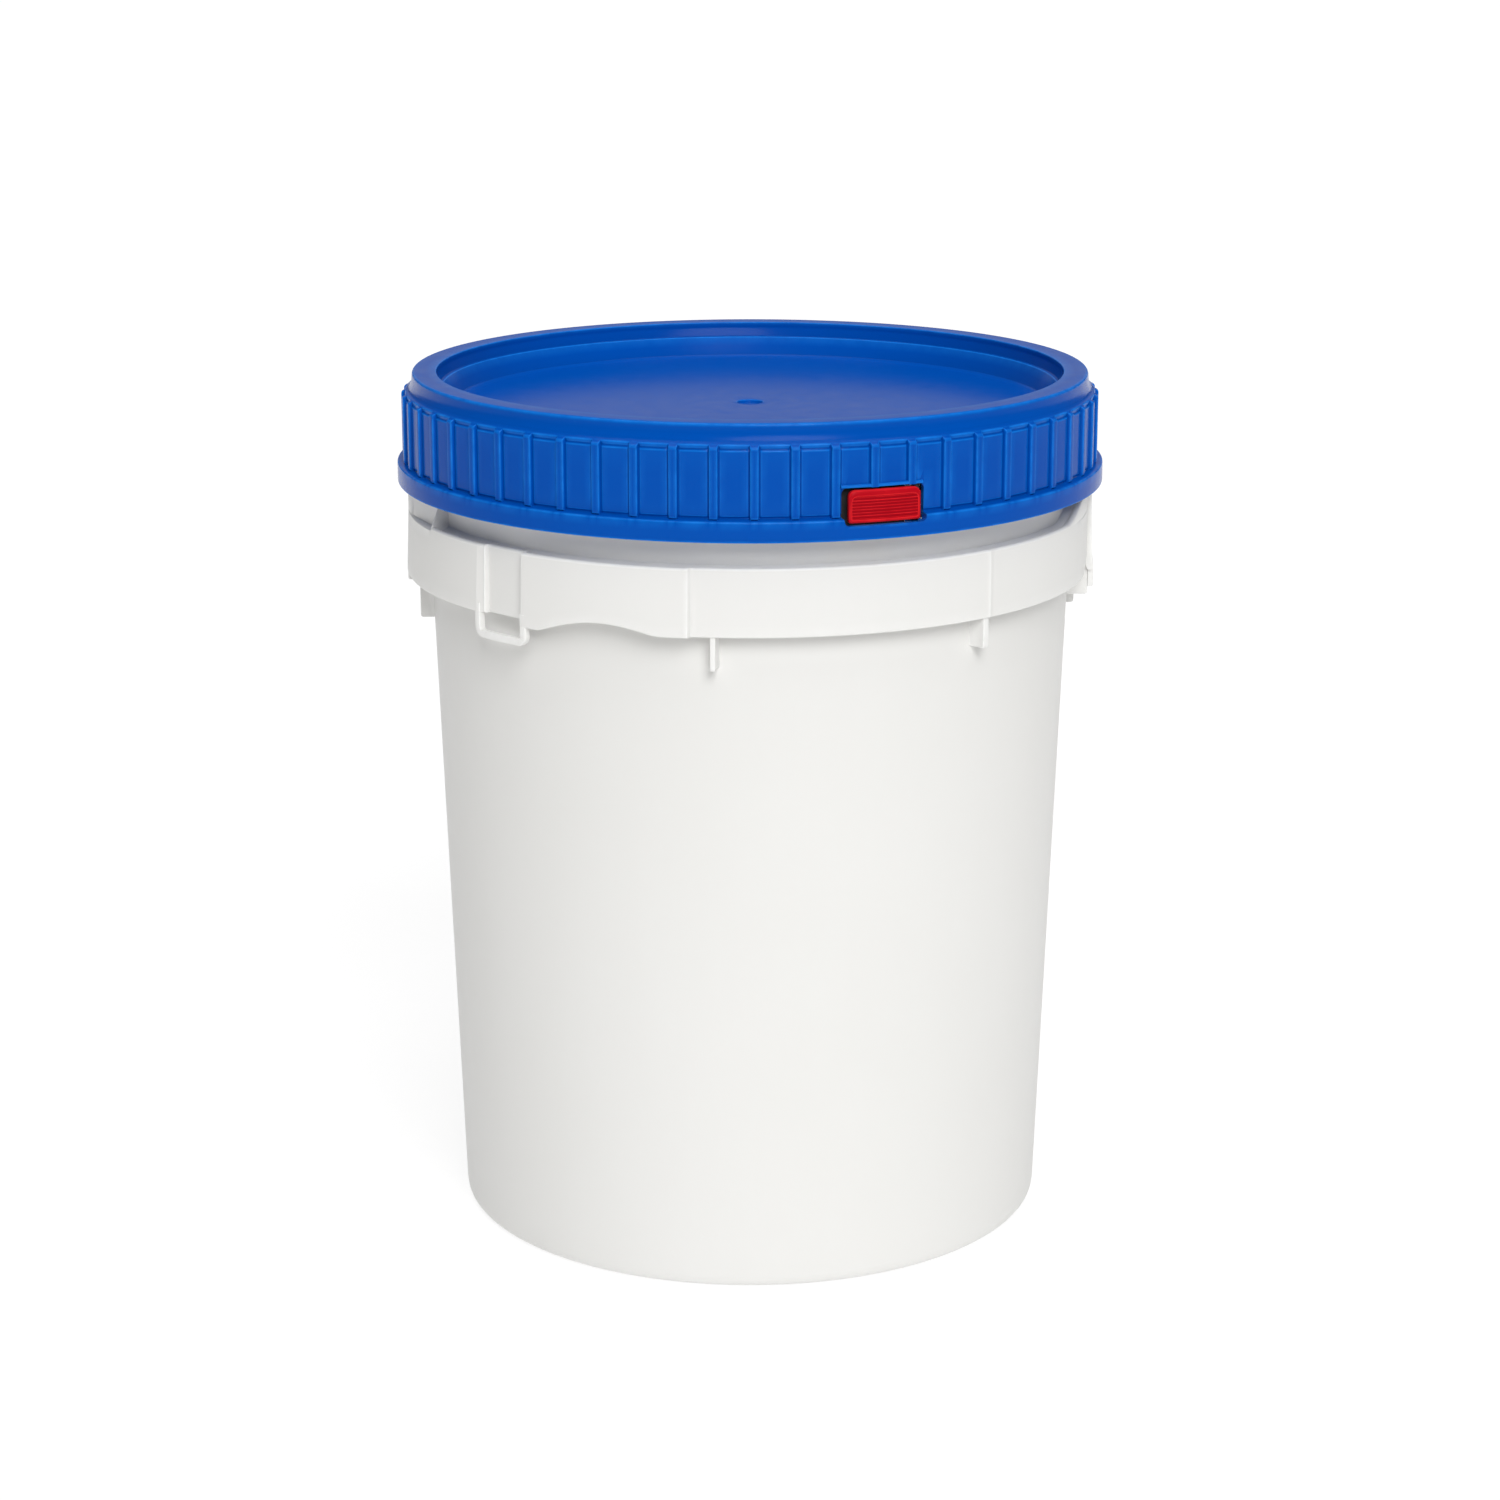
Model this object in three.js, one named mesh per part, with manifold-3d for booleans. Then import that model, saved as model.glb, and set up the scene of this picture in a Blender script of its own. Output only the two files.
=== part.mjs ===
// A screw-top pail: one white moulded pail, a blue screw lid with its gasket, and a red sprung latch that
// keeps the lid from unscrewing.
// Millimetres, +Z up, origin at the centre of the face that the pail stands on.
// A bearing is an angle in degrees from the front (-Y) towards +X, so it grows anticlockwise seen from above.
import * as THREE from "three";
import { mergeVertices } from "three/addons/utils/BufferGeometryUtils.js";
import Module from "manifold-3d";

const wasm = await Module();
wasm.setup();

// ---- Driving dimensions: overall ----
const NECK_R = 139.6; // outside of the pail's threaded neck
const RIM_Z = 365.7; // top of the pail's rim
const WALL_DRAFT = 0.0355; // lean of the pail's wall, in radius for each mm of height
const TURN_SIDES = 72; // facets round every turned shape

// ---- Driving dimensions: pail ----
const PAIL_WALL = 2.2;
const NECK_WALL = 2.4;
const NECK_STEP = 0.34; // the neck stands this far outside the wall under it
const COLLAR_INTO_NECK = 1.44; // how far the collar is sunk into the neck
const FLOOR_THICKNESS = 2.6;
const BASE_RECESS = 2.4; // how far the underside is raised inside the foot ring
const FOOT_WIDTH = 11; // flat ring that the pail stands on
const BASE_CORNER_R = 4;
const FLOOR_FILLET = 6;

// ---- Driving dimensions: collar round the pail, under the lid ----
const COLLAR_UNDER_LID = 11.2; // from the lid's bottom edge down to the collar's lip
const COLLAR_HEIGHT = 28.4;
const BAND_WALL = 2.4;
const THIN_BAND_OUT = 6.46; // how far each stretch of the band stands outside the neck
const THICK_BAND_OUT = 8.9;
const RECESS_OUT = 5.6;
const TROUGH_DEPTH = 2.2; // hollow behind the lip
const TROUGH_LEAN = 0.2;
const WEB_THICKNESS = 2.4; // shelf that joins the band to the neck
const EAR_UNDER_LID = 2.9; // clear height over the tall ear guards
const GUSSET_THICKNESS = 2.6;
const LOOP_BAR = 3.1; // bars of the hanging loop
const LOOP_BASE = 2.4; // height of its lowest bar
const LOOP_DROP = 9.5; // how far the loop hangs below the band
const LOOP_SET_BACK = 0.15; // the loop's face, behind the raised band's
const TAB_DROP = 7.6; // how far the tabs at the sides hang below the band
const TAB_PROUD = 0.5; // the tabs' face, outside the raised band's
const PANEL_DROP = 2.5; // the raised panel's low corner, below the band
const PANEL_RISE = 4.9; // height of the arch in its bottom edge

// Bearings of the front half's features. The back half is the front half turned by 180 degrees.
const THICK_BAND = [-96, -49.4];
const LOOP = [-49.4, -38.1];
const PANEL = [-38.8, -9.5];
const PANEL_ARCH = [-35.2, -14.9];
const THIN_BAND = [-9.5, 84];
const EAR_GUARD = [-114, -64.2];
const TAB = [84.5, 90];
const GUSSETS = [
  { bearing: -84, drop: 21, out: 4 },
  { bearing: -5.9, drop: 13, out: 5.6 },
  { bearing: 41.5, drop: 12.8, out: 5.6 },
  { bearing: 85.2, drop: 11.3, out: 7.3 },
];
const HALVES = [0, 180];
const STEP_SLOPE = 0.3; // degrees over which the band steps in or out
const ARCH_FACETS = 8;

// ---- Driving dimensions: thread ----
const THREAD_STARTS = 4;
const THREAD_PITCH = 12;
const THREAD_DEPTH = 3;
const THREAD_ROOT_WIDTH = 4.2;
const THREAD_CREST_WIDTH = 2.4;
const THREAD_UNDER_RIM = 5.9;
const NECK_THREAD_ARC = 85;
const LID_THREAD_ARC = 62;
const LID_THREAD_START = 33; // bearing where the first lid thread starts, past the latch
const THREAD_FLANK_GAP = 0.4;
const THREAD_CREST_GAP = 0.8;
const THREAD_TO_SKIRT = 3.2;

// ---- Driving dimensions: lid ----
const LID_WALL = 2.6;
const LID_SHELL = 2.2; // walls of the lid's ring and recess
const RING_TOP_THICKNESS = 2.7;
const SKIRT_BELOW_SHOULDER = 38.6;
const SHOULDER_BELOW_TOP = 7.8;
const FLANGE_HEIGHT = 8.5;
const FLANGE_PROUD = 3.6;
const RIM_GAP_IN = 0.5; // recess wall to the inside of the pail's rim
const RIM_GAP_OUT = 3.3; // neck to the outer wall of the lid's ring
const LEDGE_BELOW_TOP = 6.7;
const LEDGE_WIDTH = 2.3;
const RECESS_DEPTH = 15.1;
const RECESS_LEAN = 5; // how much the recess wall leans in
const RECESS_COVE = [2.4, 1.5]; // width and height of the slope round the recess floor
const LID_FLOOR_THICKNESS = 2.6;
const DIMPLE_R = 5.6;
const DIMPLE_DEPTH = 1.8;
const RIB_COUNT = 58;
const RIB_WIDTH = 3.5;
const RIB_PROUD = 1.3;
const RIB_PHASE = 0.66; // bearing of the first rib

// ---- Driving dimensions: gasket ----
const GASKET_THICKNESS = 3.1;
const REST_GAP = 0.3; // left between pieces that touch

// ---- Driving dimensions: latch ----
const LATCH_BEARING = 20.78;
const LATCH_LENGTH = 31;
const LATCH_HEIGHT = 13.2;
const LATCH_THICKNESS = 3.2;
const LATCH_PROUD = 2.8; // face outside the lid's skirt
const LATCH_ABOVE_SKIRT_END = 6.6;
const LATCH_CHAMFER = 0.7;
const FINGER_GAP = 3.2;
const HINGE_SIDE_GAP = 2.2;
const WINDOW_GAP_ABOVE = 0.7;
const WINDOW_GAP_BELOW = 0.9;
const PIN_R = 1;
const PIN_FROM_END = 1; // pin's axis, back from the latch's hinge end
const PIN_INSIDE_SKIRT = 1.8; // pin's axis, in from the skirt's outside
const PIN_GAP = 0.3;
const KNUCKLE_R = 2.3;
const BOSS_HEIGHT = 3.4;
const PIN_IN_BOSS = 2.4; // depth of the pin's hole in each boss
const PAWL_WIDTH = 4.6;
const PAWL_HEIGHT = 5.2;
const PAWL_ABOVE_TEETH_LOW = 0.6;
const TOOTH_TIP_GAP = 0.5; // pawl to the tips of the ratchet teeth
const TOOTH_COUNT = 8;
const TOOTH_PITCH = 2.6; // degrees
const TOOTH_DEPTH = 3.2;
const TOOTH_FILL = 0.9; // share of the pitch that a tooth takes
const TEETH_ABOVE_LATCH_LOW = 0.4;
const TEETH_OVER_PAWL = 1.6; // how much taller the teeth are than the pawl
const TEETH_PAST_PAWL = 2; // teeth on the far side of the pawl
const PAWL_PLAY = 0.3; // degrees between the pawl and the steep side of a tooth
const SPRING_WIRE_R = 0.25;
const SPRING_TURNS = 4;
const SPRING_GAP = 0.5;
const SPRING_ROOM = 0.8; // round the coil, inside the latch
const SPRING_SKIRT_LEG = 3.6; // how far the spring's leg reaches past the pin, on the skirt
const SPRING_LATCH_LEG = 3; // where its other leg has become straight, from the pin
const HOOK_X = -1; // the hook that holds the other leg
const HOOK_WIDTH = 4;
const HOOK_ABOVE_TEETH = 0.5;
const HOOK_UNDER_TOP = 1;

// ---- Derived sizes ----
const THREAD_LEAD = THREAD_STARTS * THREAD_PITCH;
const SKIRT_IN_R = NECK_R + THREAD_DEPTH + THREAD_TO_SKIRT;
const SKIRT_R = SKIRT_IN_R + LID_WALL;
const FLANGE_R = SKIRT_R + FLANGE_PROUD;
const CHANNEL_IN_R = NECK_R - NECK_WALL - RIM_GAP_IN;
const CHANNEL_OUT_R = NECK_R + RIM_GAP_OUT;
const RING_IN_R = CHANNEL_IN_R - LID_SHELL;
const RING_R = CHANNEL_OUT_R + LID_SHELL;
const CHANNEL_Z = RIM_Z + GASKET_THICKNESS + 2 * REST_GAP;
const LID_TOP_Z = CHANNEL_Z + RING_TOP_THICKNESS;
const SHOULDER_Z = LID_TOP_Z - SHOULDER_BELOW_TOP;
const SKIRT_END_Z = SHOULDER_Z - SKIRT_BELOW_SHOULDER;
const FLANGE_TOP_Z = SKIRT_END_Z + FLANGE_HEIGHT;
const LIP_Z = SKIRT_END_Z - COLLAR_UNDER_LID;
const BAND_Z = LIP_Z - COLLAR_HEIGHT;
const WEB_Z = LIP_Z - TROUGH_DEPTH;
const EAR_Z = SKIRT_END_Z - EAR_UNDER_LID;
const INTO = 0.8; // how far a feature is sunk into the wall that carries it

const degrees = (radians) => (radians * 180) / Math.PI;
const radians = (bearing) => (bearing * Math.PI) / 180;
const arcDegrees = (length, radius) => degrees(length / radius);
const wallOuter = (z) => NECK_R - NECK_STEP - WALL_DRAFT * (LIP_Z - z);
const wallInner = (z) => wallOuter(z) - PAIL_WALL;

// ---- Solids: three.js geometry joined and cut with manifold-3d ----
function solid(geometry) {
  const bare = geometry.clone();
  bare.deleteAttribute("normal");
  bare.deleteAttribute("uv");
  const merged = mergeVertices(bare, 1e-4);
  const mesh = new wasm.Mesh({
    numProp: 3,
    vertProperties: new Float32Array(merged.attributes.position.array),
    triVerts: new Uint32Array(merged.index.array),
  });
  return new wasm.Manifold(mesh);
}

function geometryOf(manifold) {
  const mesh = manifold.getMesh();
  const geometry = new THREE.BufferGeometry();
  geometry.setAttribute("position", new THREE.BufferAttribute(mesh.vertProperties, 3));
  geometry.setIndex(new THREE.BufferAttribute(mesh.triVerts, 1));
  return geometry;
}

const join = (first, ...rest) => rest.reduce((sum, next) => sum.add(next), first);
const cut = (first, ...rest) => rest.reduce((left, next) => left.subtract(next), first);

// A turned solid. The outline holds [radius, z] points, up the outside and down the inside.
function turned(outline, closed) {
  const points = outline.map(([radius, z]) => new THREE.Vector2(radius, z));
  if (closed) points.push(points[0].clone());
  const geometry = new THREE.LatheGeometry(points, TURN_SIDES);
  geometry.rotateX(Math.PI / 2);
  return solid(geometry);
}

// Quarter-round corner in an outline, from one bearing of the section to another.
function corner([centreR, centreZ], radius, fromDeg, toDeg, steps = 3) {
  return Array.from({ length: steps + 1 }, (_, i) => {
    const a = radians(fromDeg + ((toDeg - fromDeg) * i) / steps);
    return [centreR + radius * Math.cos(a), centreZ + radius * Math.sin(a)];
  });
}

// A bar that follows the pail round: its section holds [radius, z] points, anticlockwise.
// shape(point, bearing) may change a point's radius and z along the bar.
function arcBar(section, fromBearing, toBearing, shape = (point) => point) {
  const facet = 360 / TURN_SIDES;
  const steps = Math.max(1, Math.ceil((toBearing - fromBearing) / facet));
  const outline = new THREE.Shape(section.map(([radius, z]) => new THREE.Vector2(radius, z)));
  const geometry = new THREE.ExtrudeGeometry(outline, { depth: 1, steps, bevelEnabled: false });
  const position = geometry.attributes.position;
  for (let i = 0; i < position.count; i += 1) {
    const bearing = toBearing + (fromBearing - toBearing) * position.getZ(i);
    const [radius, z] = shape([position.getX(i), position.getY(i)], bearing);
    const angle = radians(bearing);
    position.setXYZ(i, radius * Math.sin(angle), -radius * Math.cos(angle), z);
  }
  return solid(geometry);
}

const rectangle = (rIn, rOut, zLow, zHigh) => [
  [rIn, zLow],
  [rOut, zLow],
  [rOut, zHigh],
  [rIn, zHigh],
];

// A block from its low and high corners.
function block(low, high) {
  const size = high.map((value, i) => value - low[i]);
  const geometry = new THREE.BoxGeometry(...size);
  geometry.translate(...low.map((value, i) => value + size[i] / 2));
  return solid(geometry);
}

// An upright round bar.
function post([x, y], radius, zLow, zHigh, sides = 20) {
  const geometry = new THREE.CylinderGeometry(radius, radius, zHigh - zLow, sides);
  geometry.rotateX(Math.PI / 2);
  geometry.translate(x, y, (zLow + zHigh) / 2);
  return solid(geometry);
}

// A thread ridge that climbs with the lead. sign is +1 for a ridge on the neck and -1 inside the lid.
function threadRidge(rootR, depth, sign, startZ, startBearing, arc) {
  const root = rootR - sign * INTO;
  const crest = rootR + sign * depth;
  const section = [
    [root, -THREAD_ROOT_WIDTH / 2],
    [crest, -THREAD_CREST_WIDTH / 2],
    [crest, THREAD_CREST_WIDTH / 2],
    [root, THREAD_ROOT_WIDTH / 2],
  ];
  if (sign < 0) section.reverse();
  const climb = ([radius, z], bearing) => [
    radius,
    startZ + z + (THREAD_LEAD * (bearing - startBearing)) / 360,
  ];
  return arcBar(section, startBearing, startBearing + arc, climb);
}

const THREAD_BEARINGS = Array.from({ length: THREAD_STARTS }, (_, k) => (k * 360) / THREAD_STARTS);
const NECK_THREAD_TOP_Z = RIM_Z - THREAD_UNDER_RIM - THREAD_ROOT_WIDTH / 2;
const NECK_THREAD_START_Z = NECK_THREAD_TOP_Z - (THREAD_LEAD * NECK_THREAD_ARC) / 360;

// ---- Pail ----
function pailShell() {
  const footR = wallOuter(BASE_CORNER_R) - BASE_CORNER_R;
  const floorZ = BASE_RECESS + FLOOR_THICKNESS;
  const filletR = wallInner(floorZ + FLOOR_FILLET) - FLOOR_FILLET;
  const rimIn = NECK_R - NECK_WALL;
  const neckStartZ = WEB_Z - WEB_THICKNESS / 2;
  return turned([
    [0, BASE_RECESS],
    [footR - FOOT_WIDTH - BASE_RECESS, BASE_RECESS],
    [footR - FOOT_WIDTH, 0],
    ...corner([footR, BASE_CORNER_R], BASE_CORNER_R, -90, 0),
    [wallOuter(neckStartZ), neckStartZ],
    [NECK_R, neckStartZ + NECK_STEP],
    [NECK_R, RIM_Z - NECK_WALL / 2],
    [NECK_R - NECK_WALL / 2, RIM_Z],
    [rimIn, RIM_Z - NECK_WALL / 2],
    [rimIn, LIP_Z],
    ...corner([filletR, floorZ + FLOOR_FILLET], FLOOR_FILLET, 0, -90),
    [0, floorZ],
  ]);
}

const within = ([from, to], bearing) => bearing > from && bearing < to;

// Bottom edge of the raised panel: it drops at the loop, arches over and runs out level.
function panelEdge(bearing) {
  const [archStart, archEnd] = PANEL_ARCH;
  if (bearing <= archStart) return BAND_Z - PANEL_DROP;
  if (bearing >= archEnd) return BAND_Z;
  const along = (bearing - archStart) / (archEnd - archStart);
  const chord = BAND_Z - PANEL_DROP * (1 - along);
  return chord + PANEL_RISE * Math.sin(Math.PI * along);
}

// The collar's section at a bearing of the front half: how far the band stands out, its bottom and top
// edges, and the top of the web that joins it to the neck.
function collarAt(bearing) {
  const upright = [LOOP[0], LOOP[0] + arcDegrees(LOOP_BAR, NECK_R)];
  const raised = [THICK_BAND, upright, PANEL].some((stretch) => within(stretch, bearing));
  const thin = within(THIN_BAND, bearing) || bearing < THICK_BAND[0];
  const guarded = within(EAR_GUARD, bearing) || bearing > EAR_GUARD[0] + 180;
  const topZ = guarded ? EAR_Z : LIP_Z;
  return {
    outR: NECK_R + (raised ? THICK_BAND_OUT : thin ? THIN_BAND_OUT : RECESS_OUT),
    lowZ: within(PANEL, bearing) ? panelEdge(bearing) : BAND_Z,
    topZ,
    webZ: guarded ? EAR_Z - BAND_WALL / 2 : WEB_Z,
  };
}

// Bearings where the collar's section is taken: an even spacing, and both sides of each step.
function collarStations() {
  const edges = [...THICK_BAND, ...PANEL, EAR_GUARD[1], EAR_GUARD[0] + 180];
  edges.push(LOOP[0] + arcDegrees(LOOP_BAR, NECK_R));
  const steps = edges.flatMap((edge) => [edge - STEP_SLOPE / 2, edge + STEP_SLOPE / 2]);
  const facet = 360 / TURN_SIDES;
  const even = [];
  for (let b = THICK_BAND[0] + facet / 2; b < THICK_BAND[0] + 180; b += facet) {
    if (!within(PANEL_ARCH, b)) even.push(b);
  }
  const archFacet = (PANEL_ARCH[1] - PANEL_ARCH[0]) / ARCH_FACETS;
  for (let i = 0; i <= ARCH_FACETS; i += 1) even.push(PANEL_ARCH[0] + i * archFacet);
  const clear = even.filter((b) => steps.every((step) => Math.abs(b - step) > STEP_SLOPE));
  return [...clear, ...steps].sort((one, other) => one - other);
}

// The collar: a ring whose section changes from station to station.
function collar() {
  const half = collarStations();
  const stations = HALVES.flatMap((turn) => half.map((b) => ({ bearing: b + turn, ...collarAt(b) })));
  const rootR = NECK_R - COLLAR_INTO_NECK;
  const edge = BAND_WALL / 2;
  const sectionAt = ({ outR, lowZ, topZ, webZ }) => [
    [rootR, webZ - WEB_THICKNESS],
    [outR - BAND_WALL, webZ - WEB_THICKNESS],
    [outR - BAND_WALL, lowZ],
    [outR, lowZ],
    [outR, topZ - edge],
    [outR - edge, topZ],
    [outR - BAND_WALL, topZ - edge],
    [outR - BAND_WALL - TROUGH_LEAN, webZ],
    [rootR, webZ],
  ];
  const outline = sectionAt(stations[0]).map(([radius, z]) => new THREE.Vector2(radius, z));
  const ring = new THREE.LatheGeometry([...outline, outline[0].clone()], stations.length);
  const position = ring.attributes.position;
  const width = outline.length + 1;
  for (let i = 0; i < position.count; i += 1) {
    const station = stations[Math.floor(i / width) % stations.length];
    const [radius, z] = sectionAt(station)[(i % width) % outline.length];
    const angle = radians(station.bearing);
    position.setXYZ(i, radius * Math.sin(angle), -radius * Math.cos(angle), z);
  }
  return solid(ring);
}

// The hanging loop: a U-shaped plate bent round the pail, open between its two uprights.
function hangingLoop() {
  const outR = NECK_R + THICK_BAND_OUT - LOOP_SET_BACK;
  const inR = outR - LOOP_BAR;
  const width = LOOP[1] - LOOP[0];
  const upright = arcDegrees(LOOP_BAR, outR);
  const height = LOOP_DROP + INTO;
  const outline = new THREE.Shape(
    [
      [0, 0],
      [width, 0],
      [width, height],
      [width - upright, height],
      [width - upright, LOOP_BASE],
      [upright, LOOP_BASE],
      [upright, height],
      [0, height],
    ].map(([along, up]) => new THREE.Vector2(along, up)),
  );
  const plate = new THREE.ExtrudeGeometry(outline, { depth: outR - inR, bevelEnabled: false });
  const position = plate.attributes.position;
  for (let i = 0; i < position.count; i += 1) {
    const angle = radians(LOOP[0] + position.getX(i));
    const radius = inR + position.getZ(i);
    const z = BAND_Z - LOOP_DROP + position.getY(i);
    position.setXYZ(i, radius * Math.sin(angle), -radius * Math.cos(angle), z);
  }
  return solid(plate);
}

// A tab that hangs from the band at the pail's side.
function sideTab() {
  const outR = NECK_R + THICK_BAND_OUT + TAB_PROUD;
  const section = rectangle(outR - BAND_WALL, outR, BAND_Z - TAB_DROP, BAND_Z + BAND_WALL);
  return arcBar(section, ...TAB);
}

// A plate under the collar, on the wall, with a sloping upper edge.
function gusset({ bearing, drop, out }) {
  const half = arcDegrees(GUSSET_THICKNESS, NECK_R) / 2;
  const lowZ = BAND_Z - drop;
  const topZ = WEB_Z - WEB_THICKNESS - INTO;
  const outR = NECK_R + out;
  const section = [
    [wallOuter(lowZ) - INTO, lowZ],
    [outR, lowZ],
    [outR, BAND_Z + COLLAR_HEIGHT / 3],
    [NECK_R + INTO, topZ],
    [wallOuter(topZ) - INTO, topZ],
  ];
  return arcBar(section, bearing - half, bearing + half);
}

// Ratchet teeth on the neck, under the thread. The steep sides stop the lid from turning anticlockwise.
const TOOTH_Z = SKIRT_END_Z + LATCH_ABOVE_SKIRT_END + TEETH_ABOVE_LATCH_LOW;
const TOOTH_TOP_Z = TOOTH_Z + PAWL_HEIGHT + TEETH_OVER_PAWL;
const PAWL_BEARING = LATCH_BEARING - arcDegrees(LATCH_LENGTH / 4, SKIRT_R);
function ratchetTooth(index) {
  const pawlSide = PAWL_BEARING + arcDegrees(PAWL_WIDTH / 2, NECK_R) + PAWL_PLAY;
  const steepBearing = pawlSide + (index - TOOTH_COUNT + TEETH_PAST_PAWL) * TOOTH_PITCH;
  const at = (radius, bearing) =>
    new THREE.Vector2(radius * Math.sin(radians(bearing)), -radius * Math.cos(radians(bearing)));
  const outline = new THREE.Shape([
    at(NECK_R - INTO, steepBearing),
    at(NECK_R + TOOTH_DEPTH, steepBearing),
    at(NECK_R - INTO, steepBearing + TOOTH_PITCH * TOOTH_FILL),
  ]);
  const depth = TOOTH_TOP_Z - TOOTH_Z;
  const geometry = new THREE.ExtrudeGeometry(outline, { depth, bevelEnabled: false });
  geometry.translate(0, 0, TOOTH_Z);
  return solid(geometry);
}

function pail() {
  const features = [collar()];
  const half = [hangingLoop(), sideTab(), ...GUSSETS.map(gusset)];
  for (const turn of HALVES) {
    features.push(...half.map((piece) => piece.rotate([0, 0, turn])));
  }
  for (const start of THREAD_BEARINGS) {
    features.push(threadRidge(NECK_R, THREAD_DEPTH, 1, NECK_THREAD_START_Z, start, NECK_THREAD_ARC));
  }
  for (let i = 0; i < TOOTH_COUNT; i += 1) features.push(ratchetTooth(i));
  return join(pailShell(), ...features);
}

// ---- Lid ----
const LEDGE_R = RING_IN_R - LEDGE_WIDTH;
const LEDGE_Z = LID_TOP_Z - LEDGE_BELOW_TOP;
const LID_FLOOR_Z = LID_TOP_Z - RECESS_DEPTH;
const LID_FLOOR_R = LEDGE_R - RECESS_LEAN - RECESS_COVE[0];

function lidShell() {
  const under = LID_FLOOR_Z - LID_FLOOR_THICKNESS;
  const flangeInR = FLANGE_R - LID_WALL;
  const edge = 0.8;
  return turned([
    [0, under],
    [LID_FLOOR_R, under],
    [LEDGE_R - RECESS_LEAN + LID_SHELL, LID_FLOOR_Z + RECESS_COVE[1] - LID_FLOOR_THICKNESS / 2],
    [LEDGE_R + LID_SHELL, LEDGE_Z - LID_SHELL],
    [CHANNEL_IN_R, LEDGE_Z - LID_SHELL],
    [CHANNEL_IN_R, CHANNEL_Z],
    [CHANNEL_OUT_R, CHANNEL_Z],
    [CHANNEL_OUT_R, SHOULDER_Z - LID_SHELL / 2],
    [SKIRT_IN_R, SHOULDER_Z - LID_WALL],
    [SKIRT_IN_R, FLANGE_TOP_Z - edge],
    [flangeInR, FLANGE_TOP_Z - LID_WALL],
    [flangeInR, SKIRT_END_Z],
    [FLANGE_R - edge, SKIRT_END_Z],
    [FLANGE_R, SKIRT_END_Z + edge],
    [FLANGE_R, FLANGE_TOP_Z - edge],
    [FLANGE_R - edge, FLANGE_TOP_Z],
    [SKIRT_R, FLANGE_TOP_Z],
    [SKIRT_R, SHOULDER_Z - edge],
    [SKIRT_R - edge, SHOULDER_Z],
    [RING_R, SHOULDER_Z + edge],
    [RING_R, LID_TOP_Z - edge],
    [RING_R - edge, LID_TOP_Z],
    [RING_IN_R + edge, LID_TOP_Z],
    [RING_IN_R, LID_TOP_Z - edge],
    [RING_IN_R, LEDGE_Z],
    [LEDGE_R, LEDGE_Z],
    [LEDGE_R - RECESS_LEAN, LID_FLOOR_Z + RECESS_COVE[1]],
    [LID_FLOOR_R, LID_FLOOR_Z],
    [DIMPLE_R, LID_FLOOR_Z],
    [DIMPLE_R - DIMPLE_DEPTH, LID_FLOOR_Z - DIMPLE_DEPTH],
    [0, LID_FLOOR_Z - DIMPLE_DEPTH],
  ]);
}

// Where the latch sits: x along the skirt towards its hinge end, y inwards, from the pail's axis.
const LATCH_Z = SKIRT_END_Z + LATCH_ABOVE_SKIRT_END;
const LATCH_TOP_Z = LATCH_Z + LATCH_HEIGHT;
const LATCH_HALF = LATCH_LENGTH / 2;
const WINDOW = {
  left: -LATCH_HALF - FINGER_GAP,
  right: LATCH_HALF + HINGE_SIDE_GAP,
  low: LATCH_Z - WINDOW_GAP_BELOW,
  high: LATCH_TOP_Z + WINDOW_GAP_ABOVE,
};
const PIN_X = LATCH_HALF - PIN_FROM_END;
const PIN_Y = -Math.sqrt((SKIRT_R - PIN_INSIDE_SKIRT) ** 2 - PIN_X ** 2);
const PIN_AT = [PIN_X, PIN_Y];
const CLEAR_OF_NECK_R = NECK_R + Math.max(THREAD_DEPTH, TOOTH_DEPTH) + TOOTH_TIP_GAP;
const atLatch = (manifold) => manifold.rotate([0, 0, LATCH_BEARING]);

// Bosses over and under the window, which hold the pin's two ends.
function pinBosses() {
  const side = KNUCKLE_R + 1;
  const insideY = -CLEAR_OF_NECK_R;
  const boss = (zLow, zHigh, outsideR) =>
    block([PIN_X - side, -outsideR, zLow], [PIN_X + side, insideY, zHigh]);
  return [
    boss(WINDOW.high, WINDOW.high + BOSS_HEIGHT, SKIRT_IN_R),
    boss(WINDOW.low - BOSS_HEIGHT, WINDOW.low, FLANGE_R - LID_WALL),
  ];
}

// The lid's ridges run just under the neck's, as far apart as their flanks and the gap need.
const LID_CREST_R = NECK_R + THREAD_CREST_GAP;
const FLANK_SLOPE = (THREAD_ROOT_WIDTH - THREAD_CREST_WIDTH) / 2 / THREAD_DEPTH;
const LID_THREAD_BELOW =
  THREAD_ROOT_WIDTH / 2 - FLANK_SLOPE * THREAD_CREST_GAP + THREAD_CREST_WIDTH / 2 + THREAD_FLANK_GAP;

// Ribs round the skirt, each with a sloping top.
function lidRibs() {
  const half = arcDegrees(RIB_WIDTH, SKIRT_R) / 2;
  const section = [
    [SKIRT_R - INTO, FLANGE_TOP_Z - INTO],
    [SKIRT_R + RIB_PROUD, FLANGE_TOP_Z - INTO],
    [SKIRT_R + RIB_PROUD, SHOULDER_Z - 1.5 * RIB_PROUD],
    [SKIRT_R - INTO / 2, SHOULDER_Z - RIB_PROUD / 2],
    [SKIRT_R - INTO, SHOULDER_Z - RIB_PROUD],
  ];
  return Array.from({ length: RIB_COUNT }, (_, i) => {
    const bearing = RIB_PHASE + (i * 360) / RIB_COUNT;
    return arcBar(section, bearing - half, bearing + half);
  });
}

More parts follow.
